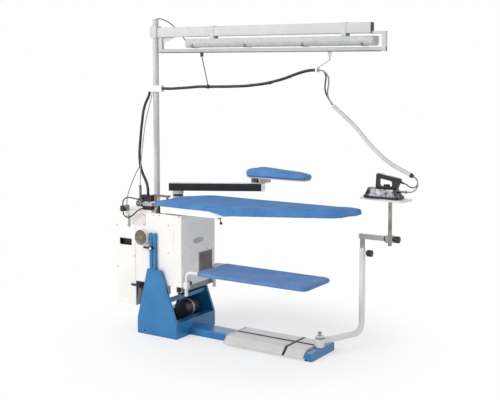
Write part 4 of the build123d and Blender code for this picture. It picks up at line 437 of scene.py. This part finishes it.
def place_object(name, data):
    """Puts a new object into the scene and gives it."""
    piece = bpy.data.objects.new(name, data)
    bpy.context.scene.collection.objects.link(piece)
    return piece


def add_mesh(name, vertices, faces, material, smooth=True):
    """Makes a mesh piece from its points and faces."""
    mesh = bpy.data.meshes.new(name)
    mesh.from_pydata(vertices, [], faces)
    mesh.validate()
    mesh.materials.append(material)
    for face in mesh.polygons:
        face.use_smooth = smooth
    return place_object(name, mesh)


def add_modifier(piece, kind, **settings):
    """Adds a modifier with its settings and gives it."""
    modifier = piece.modifiers.new(kind.lower(), kind)
    for key, value in settings.items():
        setattr(modifier, key, value)
    return modifier


def settle(piece):
    """Applies every modifier of a piece."""
    graph = bpy.context.evaluated_depsgraph_get()
    graph.update()
    final = bpy.data.meshes.new_from_object(piece.evaluated_get(graph))
    piece.modifiers.clear()
    piece.data = final
    return piece


def make_line(name, route):
    """Makes a smooth curve whose control points are a route."""
    curve = bpy.data.curves.new(name, "CURVE")
    curve.dimensions = "3D"
    curve.resolution_u = curve_steps
    spline = curve.splines.new("NURBS")
    spline.points.add(len(route) - 1)
    for point, place in zip(spline.points, route):
        point.co = (*place, 1)
    spline.order_u = 3
    spline.use_endpoint_u = True
    return place_object(name, curve)


def line_points(line):
    """Gives the points along a curve and removes it."""
    mesh = bpy.data.meshes.new_from_object(line)
    points = [vertex.co.copy() for vertex in mesh.vertices]
    bpy.data.objects.remove(line)
    return points


def make_cord(name, route, diameter, material):
    """Makes a round cord as a curve along its route."""
    cord = make_line(name, route)
    cord.data.bevel_depth = diameter / 2
    cord.data.bevel_resolution = cord_roundness
    cord.data.use_fill_caps = True
    cord.data.materials.append(material)
    return cord


def make_tube(name, points, radius, material, sides, swell=None):
    """Makes a tube mesh that follows points, its radius changed by a swell along and around it."""
    vertices = []
    faces = []
    side_way = None
    run = 0
    for number, point in enumerate(points):
        before = points[max(number - 1, 0)]
        after = points[min(number + 1, len(points) - 1)]
        way = (after - before).normalized()
        if side_way is None:
            side_way = way.cross(Vector((0, 1, 0))).normalized()
        side_way = (side_way - way * side_way.dot(way)).normalized()
        up_way = way.cross(side_way)
        run += (point - points[max(number - 1, 0)]).length
        for side in range(sides):
            turn = math.tau * side / sides
            size = radius * (swell(run, turn) if swell else 1)
            vertices.append(point + (side_way * math.cos(turn) + up_way * math.sin(turn)) * size)
    for number in range(len(points) - 1):
        for side in range(sides):
            corner = number * sides + side
            beside = number * sides + (side + 1) % sides
            faces.append((corner, beside, beside + sides, corner + sides))
    faces.append(tuple(reversed(range(sides))))
    faces.append(tuple(range((len(points) - 1) * sides, len(points) * sides)))
    return add_mesh(name, vertices, faces, material)


# Cords: each route is the run of its hose or cable in metres

bundle_width = 0.018
strand_width = 0.009
sleeve_width = 0.0245
control_width = 0.006
iron_cable_width = 0.007
steam_hose_width = 0.008
loop_width = 0.008

drop_route = [
    (-0.104, -0.15, 0.878), (-0.104, -0.15, 0.916), (-0.124, -0.138, 0.952), (-0.164, -0.118, 0.99),
    (-0.212, -0.092, 1.042), (-0.248, -0.058, 1.105), (-0.275, -0.018, 1.18), (-0.302, 0.032, 1.29),
    (-0.324, 0.078, 1.385), (-0.328, 0.106, 1.44), (-0.318, 0.124, 1.478), (-0.311, 0.131, 1.503),
    (-0.311, 0.131, 1.527),
]
control_route = [
    (-0.167, -0.15, 0.851), (-0.167, -0.15, 0.938), (-0.174, -0.141, 0.985), (-0.195, -0.11, 1.057),
    (-0.221, -0.062, 1.15), (-0.26, 0.014, 1.3), (-0.282, 0.078, 1.4), (-0.289, 0.115, 1.462),
    (-0.289, 0.128, 1.495), (-0.289, 0.128, 1.517),
]
span_route = [
    (-0.204, 0.13, 1.538), (-0.15, 0.13, 1.538), (-0.099, 0.14, 1.54), (-0.018, 0.152, 1.546),
    (0.05, 0.158, 1.552), (0.11, 0.16, 1.554), (0.19, 0.16, 1.554), (0.264, 0.16, 1.556),
    (0.384, 0.161, 1.559), (0.495, 0.16, 1.568), (0.604, 0.159, 1.584), (0.71, 0.16, 1.611),
    (0.8, 0.16, 1.642), (0.872, 0.16, 1.661), (0.925, 0.16, 1.661),
]
strand_a_route = [
    (0.935, 0.166, 1.661), (0.957, 0.166, 1.661), (0.975, 0.169, 1.648), (0.983, 0.172, 1.622),
    (0.974, 0.178, 1.588), (0.966, 0.186, 1.552), (0.973, 0.193, 1.516), (0.99, 0.2, 1.485),
    (1.009, 0.206, 1.458),
]
strand_b_route = [
    (0.935, 0.154, 1.661), (0.96, 0.154, 1.661), (0.985, 0.157, 1.649), (1.002, 0.162, 1.625),
    (1.003, 0.168, 1.592), (0.994, 0.175, 1.56), (0.985, 0.182, 1.527), (0.99, 0.189, 1.493),
    (1.012, 0.197, 1.456),
]
sleeve_upper_route = [
    (1.014, 0.202, 1.452), (1.08, 0.222, 1.392), (1.15, 0.245, 1.321), (1.178, 0.255, 1.2835),
]
sleeve_middle_route = [
    (1.178, 0.255, 1.2835), (1.206, 0.265, 1.246), (1.268, 0.287, 1.178), (1.304, 0.298, 1.146),
]
sleeve_lower_route = [
    (1.304, 0.298, 1.146), (1.34, 0.309, 1.114), (1.4, 0.326, 1.083), (1.452, 0.338, 1.055),
]
iron_cable_route = [
    (1.46827, 0.34627, 1.04571), (1.48121, 0.34926, 1.03874),
    (1.489, 0.349, 1.028), (1.493, 0.35, 1.011), (1.489, 0.349, 0.994), (1.477, 0.347, 0.982),
    (1.46, 0.344, 0.979), (1.443, 0.342, 0.986), (1.427, 0.34, 0.998), (1.41, 0.34, 1.003),
]
steam_hose_route = [
    (1.47025, 0.33769, 1.04571), (1.48319, 0.34068, 1.03874),
    (1.495, 0.339, 1.0245), (1.499, 0.338, 1.0075), (1.497, 0.337, 0.9885), (1.487, 0.337, 0.9705),
    (1.469, 0.338, 0.958), (1.45, 0.34, 0.952), (1.43, 0.34, 0.952),
]
light_cable_width = 0.0065
light_cable_route = [
    (-0.224, -0.085, 1.044), (-0.238, -0.094, 1.018), (-0.25, -0.112, 0.975),
    (-0.261, -0.138, 0.915), (-0.267, -0.158, 0.86), (-0.266, -0.168, 0.827),
    (-0.262, -0.17, 0.805),
]
valve_loop_route = [
    (-0.133, -0.171, 0.855), (-0.133, -0.189, 0.855), (-0.142, -0.205, 0.8555),
    (-0.158, -0.213, 0.857), (-0.182, -0.213, 0.861), (-0.209, -0.214, 0.862),
    (-0.234, -0.213, 0.857), (-0.253, -0.213, 0.843), (-0.26, -0.213, 0.822),
    (-0.26, -0.213, 0.764), (-0.252, -0.213, 0.746), (-0.234, -0.213, 0.735),
    (-0.21, -0.214, 0.734), (-0.184, -0.213, 0.746), (-0.16, -0.214, 0.765),
    (-0.143, -0.2136, 0.7793), (-0.131, -0.2046, 0.789), (-0.124, -0.189, 0.795),
    (-0.124, -0.171, 0.795),
]


bundle_sides = 30
bending_sides = 24
wrap_pitch = 0.019
wrap_relief = 0.01
hose_count = 3
hoses_lay = 0.42
hose_valley = 0.88
hose_rise = 0.13
hose_fullness = 0.6


def wound_braid(run, turn):
    """Gives the swell of the wrapped sleeve along its run and around it."""
    return 1 + wrap_relief * math.sin(run * math.tau / wrap_pitch + turn)


def twisted_hoses(run, turn):
    """Gives the outline of the hoses twisted into one bundle."""
    twist = turn - run * math.tau / hoses_lay
    return hose_valley + hose_rise * abs(math.cos(hose_count / 2 * twist)) ** hose_fullness


def fit_cord(name, route, width, material, body, node=None):
    """Makes a round cord that rides on one body and stands for a carried solid, if it has one."""
    points = line_points(make_line(name, route))
    cord = make_cord(name, route, width, material)
    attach(cord, body)
    if node:
        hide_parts(node)


def fit_bundle(name, route, node):
    """Makes a run of twisted hoses that rides on the head and stands for its carried solid."""
    points = line_points(make_line(name, route))
    cord = make_tube(name, points, bundle_width / 2, hose_rubber, bundle_sides, twisted_hoses)
    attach(cord, "head")
    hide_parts(node)


def fit_bending_cord(name, route, width, material, node, swell=None):
    """Makes a cord that hangs between two bodies, rides on neither, and stands for its carried
    solid.
    """
    points = line_points(make_line(name, route))
    cord = make_tube(name, points, width / 2, material, bending_sides, swell)
    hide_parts(node)
    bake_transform(cord)


def hang_hoses():
    """Hangs the hoses and cables over the table, at the valves and at the iron."""
    fit_bundle("steam_bundle_drop", drop_route, "bundle_drop")
    fit_bundle("steam_bundle_span", span_route, "bundle_span")
    fit_cord("boiler_light_cable", light_cable_route, light_cable_width, light_cable_skin, "head")
    fit_cord("control_line", control_route, control_width, light_cable_skin, "head",
             "control_cable")
    fit_cord("valve_pipe_loop", valve_loop_route, loop_width, hose_rubber, "head", "valve_loop")
    fit_cord("iron_mains_cable", iron_cable_route, iron_cable_width, hose_rubber, "iron",
             "iron_cable")
    fit_cord("iron_steam_hose", steam_hose_route, steam_hose_width, light_cable_skin, "iron",
             "steam_hose")
    strands = (("a", strand_a_route, hose_rubber), ("b", strand_b_route, light_cable_skin))
    for letter, route, skin in strands:
        fit_bending_cord("hanging_strand_" + letter, route, strand_width, skin,
                         "hose_strand_" + letter)
    sleeves = (
        ("upper", sleeve_upper_route, ("base", "rest_arm"), ()),
        ("middle", sleeve_middle_route, ("rest_arm", "rest_top"), ()),
        ("lower", sleeve_lower_route, ("rest_top", "iron"), [nodes["hose_end_cap"]]),
    )
    for part, route, joined, plug in sleeves:
        fit_bending_cord("hose_sleeve_" + part, route, sleeve_width, braid_skin,
                         "sleeve_" + part, wound_braid)


hang_hoses()


# Spring that guards the control line, wound turn on turn

spring_middle = (-0.167, -0.150)
spring_low = 0.8525
spring_high = 0.936
spring_radius = 0.0077
spring_wire_radius = 0.0012
spring_turns = 30
spring_turn_steps = 16
spring_wire_sides = 8


def wind_spring():
    """Winds the coil spring around the upright start of the control line."""
    steps = spring_turns * spring_turn_steps
    points = []
    for step in range(steps + 1):
        turn = math.tau * step / spring_turn_steps
        points.append(Vector((spring_middle[0] + spring_radius * math.cos(turn),
                              spring_middle[1] + spring_radius * math.sin(turn),
                              spring_low + (spring_high - spring_low) * step / steps)))
    spring = make_tube("cable_guard_spring", points, spring_wire_radius, dull_steel,
                       spring_wire_sides)
    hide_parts("gland_spring")
    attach(spring, "head")


wind_spring()


# Cloth-covered pads: the padding swells under its cover, and stitched hems follow

hem_depth = 0.0012
folds_across = 34
folds_down = 9
waves_along = 7
waves_across = 11
wave_layer = 3
wave_share = 0.5
smoothing = 0.5
held_height = 0.006
cover_stiffness = 40
swelling_frames = 20
hem_stride = 3


def gather_hem(pad):
    """Ripples the side of a cover where its elastic hem gathers it, most at the lower edge."""
    low = min(vertex.co.z for vertex in pad.data.vertices)
    high = max(vertex.co.z for vertex in pad.data.vertices)
    normals = [vertex.normal.copy() for vertex in pad.data.vertices]
    for vertex, normal in zip(pad.data.vertices, normals):
        x, y, z = vertex.co
        lower = (high - z) / (high - low)
        ripple = noise.noise(Vector((x * folds_across, y * folds_across, z * folds_down)))
        wave = noise.noise(Vector((x * waves_along, y * waves_across, wave_layer)))
        fold = ripple * lower + wave_share * wave * (1 - lower)
        vertex.co += normal * hem_depth * fold


def swell_cloth(pad, low, pressure, most):
    """Blows up a cover held along its lower edge, and moves no point further than the most."""
    rest = [vertex.co.copy() for vertex in pad.data.vertices]
    held = pad.vertex_groups.new(name="held")
    held.add([vertex.index for vertex in pad.data.vertices if vertex.co.z < low + held_height],
             1, "ADD")
    swelling = pad.modifiers.new("swelling", "CLOTH")
    swelling.settings.use_pressure = True
    swelling.settings.uniform_pressure_force = pressure
    swelling.settings.effector_weights.gravity = 0
    swelling.settings.vertex_group_mass = "held"
    swelling.settings.tension_stiffness = cover_stiffness
    swelling.settings.compression_stiffness = cover_stiffness
    swelling.point_cache.frame_end = swelling_frames
    for number in range(1, swelling_frames + 1):
        bpy.context.scene.frame_set(number)
    settle(pad)
    bpy.context.scene.frame_set(1)
    for vertex, place in zip(pad.data.vertices, rest):
        move = vertex.co - place
        if move.length > most:
            vertex.co = place + move.normalized() * most


def swell_pad(name, node, body, cloth, voxel, pressure, most, rounding, thinning=1):
    """Makes a padded piece that swells from a carried soft solid and rests where that lies."""
    pad = place_object(name, nodes[node].data.copy())
    pad.data.materials.clear()
    pad.data.materials.append(cloth)
    add_modifier(pad, "REMESH", mode="VOXEL", voxel_size=voxel, use_smooth_shade=True)
    add_modifier(pad, "SMOOTH", factor=smoothing, iterations=rounding)
    settle(pad)
    low = min(vertex.co.z for vertex in pad.data.vertices)
    pad_start = min(vertex.co.x for vertex in pad.data.vertices)
    pad_end = max(vertex.co.x for vertex in pad.data.vertices)
    for vertex in pad.data.vertices:
        run = (vertex.co.x - pad_start) / (pad_end - pad_start)
        vertex.co.z = low + (vertex.co.z - low) * (1 - (1 - thinning) * run)
    swell_cloth(pad, low, pressure, most)
    gather_hem(pad)
    add_modifier(pad, "SUBSURF", levels=1, render_levels=1)
    settle(pad)
    for face in pad.data.polygons:
        face.use_smooth = True
    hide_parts(node)
    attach(pad, body)
    return pad


board_cover = swell_pad("board_cover", "board_pad", "head", board_cloth, voxel=0.006,
                        pressure=2.0, most=0.004, rounding=10)
sleeve_cover = swell_pad("sleeve_board_cover", "sleeve_pad", "sleeve_board", sleeve_cloth,
                         voxel=0.005, pressure=3.0, most=0.006, rounding=60,
                         thinning=0.66)


def hem_ring(pad, level):
    """Gives the outline of a pad at a level as an ordered ring of points."""
    shape = bmesh.new()
    shape.from_mesh(pad.data)
    cut = bmesh.ops.bisect_plane(shape, geom=shape.verts[:] + shape.edges[:] + shape.faces[:],
                                 plane_co=(0, 0, level), plane_no=(0, 0, 1))
    edges = [piece for piece in cut["geom_cut"] if isinstance(piece, bmesh.types.BMEdge)]
    near = {}
    for edge in edges:
        for vertex in edge.verts:
            near.setdefault(vertex, []).append(edge.other_vert(vertex))
    first = next(iter(near))
    ring = [first]
    before = None
    while True:
        ahead = [vertex for vertex in near[ring[-1]] if vertex is not before]
        if not ahead or ahead[0] is first:
            break
        before = ring[-1]
        ring.append(ahead[0])
    points = [vertex.co.copy() for vertex in ring]
    shape.free()
    return points


def stitch_hem(name, pad, body, level, material, radius):
    """Lays a sewn hem around a pad at a level."""
    points = hem_ring(pad, level)[::hem_stride]
    curve = bpy.data.curves.new(name, "CURVE")
    curve.dimensions = "3D"
    spline = curve.splines.new("POLY")
    spline.points.add(len(points) - 1)
    for point, place in zip(spline.points, points):
        point.co = (*place, 1)
    spline.use_cyclic_u = True
    curve.bevel_depth = radius
    curve.bevel_resolution = 2
    curve.materials.append(material)
    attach(place_object(name, curve), body)


stitch_hem("sleeve_board_hem", sleeve_cover, "sleeve_board", 0.9765, seam_thread, 0.0016)
stitch_hem("board_hem", board_cover, "head", 0.8275, seam_thread, 0.0014)


# Tray cloth: a sheet sewn around the tube on three sides and stretched between its long sides

cloth_near = 0.283
tube_end = 1.028
tube_side = 0.150
tube_level = 0.418
tube_corner = 0.034
wrap_radius = 0.0124
wrap_start = -110
wrap_turn = 200
cloth_thick = 0.0012
cloth_sag = 0.010
sag_shape = 1.6
firm_start = 0.05
firm_reach = 0.2
crease_depth = 0.0009
creases_along = 9
creases_across = 38
long_steps = 60
corner_steps = 12
end_steps = 12
wrap_steps = 12
inner_steps = 30


def tray_edge():
    """Gives the places along the tube that the cloth is sewn around, and their outward ways."""
    edge = []
    straight = tube_end - tube_corner - cloth_near
    for step in range(long_steps + 1):
        edge.append(((cloth_near + straight * step / long_steps, -tube_side), (0, -1)))
    middle = (tube_end - tube_corner, -tube_side + tube_corner)
    for step in range(1, corner_steps):
        turn = math.radians(-90 + 90 * step / corner_steps)
        out = (math.cos(turn), math.sin(turn))
        edge.append(((middle[0] + tube_corner * out[0], middle[1] + tube_corner * out[1]), out))
    for step in range(end_steps + 1):
        edge.append(((tube_end, (-tube_side + tube_corner) * (1 - step / end_steps)), (1, 0)))
    return edge + [((x, -y), (out_x, -out_y)) for (x, y), (out_x, out_y) in reversed(edge[:-1])]


def make_tray_cloth():
    """Makes the cloth of the tray, sewn around the tube on three sides and sagging between them."""
    edge = tray_edge()
    level = tube_level + wrap_radius
    inner_end = tube_end - tube_side
    vertices = []
    for (x, y), (out_x, out_y) in edge:
        for step in range(wrap_steps + 1):
            turn = math.radians(wrap_start + wrap_turn * step / wrap_steps)
            out = wrap_radius * math.cos(turn)
            height = tube_level + wrap_radius * math.sin(turn)
            vertices.append((x + out_x * out, y + out_y * out, height))
        middle = (min(x, inner_end), 0)
        for step in range(1, inner_steps + 1):
            share = step / inner_steps
            place_x = x + (middle[0] - x) * share
            place_y = y + (middle[1] - y) * share
            firm = min(1, (place_x - cloth_near + firm_start) / firm_reach)
            dip = cloth_sag * firm * math.sin(math.pi / 2 * share) ** sag_shape
            wave = Vector((place_x * creases_along, place_y * creases_across, 1))
            crease = crease_depth * noise.noise(wave) * share
            vertices.append((place_x, place_y, level - dip + crease))
    width = wrap_steps + 1 + inner_steps
    faces = [(row * width + place, row * width + place + 1,
              (row + 1) * width + place + 1, (row + 1) * width + place)
             for row in range(len(edge) - 1) for place in range(width - 1)]
    cloth = add_mesh("tray_cloth_cover", vertices, faces, tray_fabric)
    add_modifier(cloth, "WELD", merge_threshold=0.0004)
    add_modifier(cloth, "SOLIDIFY", thickness=cloth_thick, offset=0)
    settle(cloth)
    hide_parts("tray_cloth")
    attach(cloth, "tray")


make_tray_cloth()


# Small fittings: each is fixed to the body that it rides on

bevel_steps = 3
sharp_angle = 35
band_steps = 24
band_bevel = 0.0006
lead_width = 0.0065
strip_bevel = 0.0007
strip_below = 0.002
strip_above = 0.0016


def add_box(name, low, high, material, edge, body, pivot=(0, 0), turn=0):
    """Makes a block with rounded edges between two corners in millimetres, turned about a pivot."""
    low, high = Vector(low) / 1000, Vector(high) / 1000
    shape = bmesh.new()
    bmesh.ops.create_cube(shape, size=1)
    for vertex in shape.verts:
        for axis in range(3):
            vertex.co[axis] = high[axis] if vertex.co[axis] > 0 else low[axis]
    bmesh.ops.bevel(shape, geom=shape.edges[:], offset=edge / 1000, segments=bevel_steps,
                    profile=0.5, affect="EDGES")
    bmesh.ops.rotate(shape, verts=shape.verts[:], cent=(0, 0, 0),
                     matrix=Matrix.Rotation(math.radians(turn), 3, "Z"))
    bmesh.ops.translate(shape, verts=shape.verts[:], vec=(pivot[0] / 1000, pivot[1] / 1000, 0))
    mesh = bpy.data.meshes.new(name)
    shape.to_mesh(mesh)
    shape.free()
    mesh.materials.append(material)
    for face in mesh.polygons:
        face.use_smooth = True
    mesh.set_sharp_from_angle(angle=math.radians(sharp_angle))
    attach(place_object(name, mesh), body)


def add_band(name, middle, way, inner, outer, width):
    """Makes a black tie or strap around a hose that the head carries."""
    way = Vector(way).normalized()
    half = way * width / 2
    side = way.orthogonal().normalized()
    up = way.cross(side)
    profile = [(inner, -1), (outer, -1), (outer, 1), (inner, 1)]
    vertices = []
    for step in range(band_steps):
        turn = math.tau * step / band_steps
        out = side * math.cos(turn) + up * math.sin(turn)
        vertices += [Vector(middle) + out * radius + half * place for radius, place in profile]
    faces = []
    for step in range(band_steps):
        here, there = step * 4, (step + 1) % band_steps * 4
        for corner in range(4):
            beside = (corner + 1) % 4
            faces.append((here + corner, there + corner, there + beside, here + beside))
    band = add_mesh(name, vertices, faces, black_moulding)
    add_modifier(band, "BEVEL", width=band_bevel, segments=2, limit_method="ANGLE")
    settle(band)
    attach(band, "head")


def fit_small_pieces():
    """Fits the ties, straps, strips, clips, caps and lamp leads."""
    bands = (
        ("span_tie", (0.604, 0.159, 1.584), (1, 0, 0.2), 0.0088, 0.0108, 0.009),
        ("span_end_tie", (0.914, 0.16, 1.661), (1, 0, 0), 0.0088, 0.0108, 0.008),
        ("loop_strap_low", (-0.26, -0.213, 0.781), (0, 0, 1), 0.0038, 0.0056, 0.006),
        ("loop_strap_high", (-0.26, -0.213, 0.802), (0, 0, 1), 0.0038, 0.0056, 0.006),
    )
    blocks = (
        # A thin dark line where the two cabinets meet: painted shade in the gap between them.
        ("cabinet_seam", (-188.6, -180.6, 330), (-186.4, -179.8, 684), arm_grey_and_gap_shade, 0.2, "head"),
        ("pedal_ridge_strip", (470, -5, 55.5), (1008, 5, 60), black_moulding, 1, "base"),
        ("end_foot_pad", (1021.5, -138.6, 0), (1040, -122, 11), black_moulding, 1, "base"),
        ("beam_clip_near", (181, 139, 1932), (193, 181, 1936), black_moulding, 1, "head"),
        ("beam_clip_far", (1106, 139, 1932), (1118, 181, 1936), black_moulding, 1, "head"),
        ("swivel_arm_cap", (545, -28.8, 876.6), (567.6, 28.8, 926.8), white_moulding, 1,
         "swivel_arm", (-85, 135), 29.5),
        # A dark strip along the rail's lower edge: painted shade in the slot there.
        ("rail_lower_edge", (-241, 146.2, 1767.5), (1344, 147.6, 1774.5), rail_slot_shade_paint, 0.3,
         "head"),
    )
    leads = (
        ("lamp_lead", [(-0.2715, 0.16, 1.99), (-0.243, 0.16, 1.994), (-0.2, 0.16, 1.98),
                       (-0.168, 0.16, 1.966), (-0.14, 0.16, 1.948), (-0.117, 0.16, 1.93)]),
        ("lamp_tail", [(-0.055, 0.16, 1.872), (-0.046, 0.16, 1.856), (-0.03, 0.16, 1.842),
                       (-0.01, 0.16, 1.836), (0.004, 0.16, 1.836)]),
    )
    for band in bands:
        add_band(*band)
    for block in blocks:
        add_box(*block)
    for name, route in leads:
        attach(make_cord(name, route, lead_width, black_moulding), "head")


def fit_grip_strip():
    """Fits the bright strip along the top of the iron's grip."""
    corners = []
    for x, z in ((1.252, 1.0545), (1.386, 1.0308)):
        for y in (0.333, 0.347):
            corners += [(x, y, z - strip_below), (x, y, z + strip_above)]
    faces = [(0, 1, 3, 2), (4, 6, 7, 5), (0, 4, 5, 1), (2, 3, 7, 6), (1, 5, 7, 3), (0, 2, 6, 4)]
    strip = add_mesh("grip_strip", corners, faces, satin_chrome)
    add_modifier(strip, "BEVEL", width=strip_bevel, segments=2, limit_method="ANGLE")
    settle(strip)
    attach(strip, "iron")


fit_small_pieces()
fit_grip_strip()


# Floor, light and camera

floor_middle = (0.5, 0.05, 0)
floor_reach = 30
floor_grey = 0.93
fade_start = 0.5
fade_end = 1.25
near_white_share = 0.55
surroundings_strength = 0.62
light_aim = (0.4, 0, 0.9)
camera_place = (3.606, -4.714, 1.692)
camera_pitch = 5.49
camera_azimuth = 32.86
camera_lens = 67.54
camera_shift = -0.09


def direct_rays(tree):
    """Adds nodes that give 1 to camera, glossy and transmission rays and 0 to all others."""
    ray = tree.nodes.new("ShaderNodeLightPath")
    total = ray.outputs["Is Camera Ray"]
    for kind in ("Is Glossy Ray", "Is Transmission Ray"):
        either = tree.nodes.new("ShaderNodeMath")
        either.operation = "MAXIMUM"
        tree.links.new(total, either.inputs[0])
        tree.links.new(ray.outputs[kind], either.inputs[1])
        total = either.outputs["Value"]
    return total


def make_floor():
    """Makes the pale floor, which turns to plain white away from the table."""
    material = bpy.data.materials.new("pale_floor")
    material.use_nodes = True
    tree = material.node_tree
    shader = tree.nodes["Principled BSDF"]
    shader.inputs["Base Color"].default_value = (floor_grey, floor_grey, floor_grey, 1)
    shader.inputs["Roughness"].default_value = 0.9
    shader.inputs["Specular IOR Level"].default_value = 0.1
    white = tree.nodes.new("ShaderNodeEmission")
    place = tree.nodes.new("ShaderNodeTexCoord")
    offset = tree.nodes.new("ShaderNodeVectorMath")
    offset.operation = "SUBTRACT"
    offset.inputs[1].default_value = floor_middle
    reach = tree.nodes.new("ShaderNodeVectorMath")
    reach.operation = "LENGTH"
    fade = tree.nodes.new("ShaderNodeMapRange")
    fade.interpolation_type = "SMOOTHSTEP"
    fade.inputs["From Min"].default_value = fade_start
    fade.inputs["From Max"].default_value = fade_end
    fade.inputs["To Min"].default_value = near_white_share
    share = tree.nodes.new("ShaderNodeMath")
    share.operation = "MULTIPLY"
    mix = tree.nodes.new("ShaderNodeMixShader")
    tree.links.new(place.outputs["Object"], offset.inputs[0])
    tree.links.new(offset.outputs["Vector"], reach.inputs[0])
    tree.links.new(reach.outputs["Value"], fade.inputs["Value"])
    tree.links.new(fade.outputs["Result"], share.inputs[0])
    tree.links.new(direct_rays(tree), share.inputs[1])
    tree.links.new(share.outputs["Value"], mix.inputs["Fac"])
    tree.links.new(shader.outputs["BSDF"], mix.inputs[1])
    tree.links.new(white.outputs["Emission"], mix.inputs[2])
    tree.links.new(mix.outputs["Shader"], tree.nodes["Material Output"].inputs["Surface"])
    corners = [(-floor_reach, -floor_reach, 0), (floor_reach, -floor_reach, 0),
               (floor_reach, floor_reach, 0), (-floor_reach, floor_reach, 0)]
    add_mesh("floor", corners, [(0, 1, 2, 3)], material, smooth=False)


def light_world():
    """Sets the even white surroundings, which look plain white when seen directly."""
    world = bpy.data.worlds.new("surroundings")
    bpy.context.scene.world = world
    world.use_nodes = True
    tree = world.node_tree
    sky = tree.nodes["Background"]
    sky.inputs["Color"].default_value = (1, 1, 1, 1)
    sky.inputs["Strength"].default_value = surroundings_strength
    white = tree.nodes.new("ShaderNodeBackground")
    white.inputs["Color"].default_value = (1, 1, 1, 1)
    mix = tree.nodes.new("ShaderNodeMixShader")
    tree.links.new(direct_rays(tree), mix.inputs["Fac"])
    tree.links.new(sky.outputs["Background"], mix.inputs[1])
    tree.links.new(white.outputs["Background"], mix.inputs[2])
    tree.links.new(mix.outputs["Shader"], tree.nodes["World Output"].inputs["Surface"])


def add_panel(name, place, size, power):
    """Hangs a square soft light that faces the table."""
    data = bpy.data.lights.new(name, "AREA")
    data.size = size
    data.energy = power
    panel = place_object(name, data)
    panel.location = place
    panel.rotation_euler = (Vector(light_aim) - Vector(place)).to_track_quat("-Z", "Y").to_euler()


def set_camera():
    """Sets the camera where the photograph was taken from."""
    data = bpy.data.cameras.new("camera")
    data.lens = camera_lens
    data.sensor_width = 36
    data.shift_y = camera_shift
    camera = place_object("camera", data)
    camera.location = camera_place
    camera.rotation_euler = (math.radians(90 - camera_pitch), 0, math.radians(camera_azimuth))
    bpy.context.scene.camera = camera


make_floor()
light_world()
add_panel("front_light", (-1.6, -4.2, 3.4), 2.6, 150)
add_panel("side_light", (4.6, -0.6, 2.2), 2.0, 14)
set_camera()
bpy.context.scene.view_settings.view_transform = "Standard"
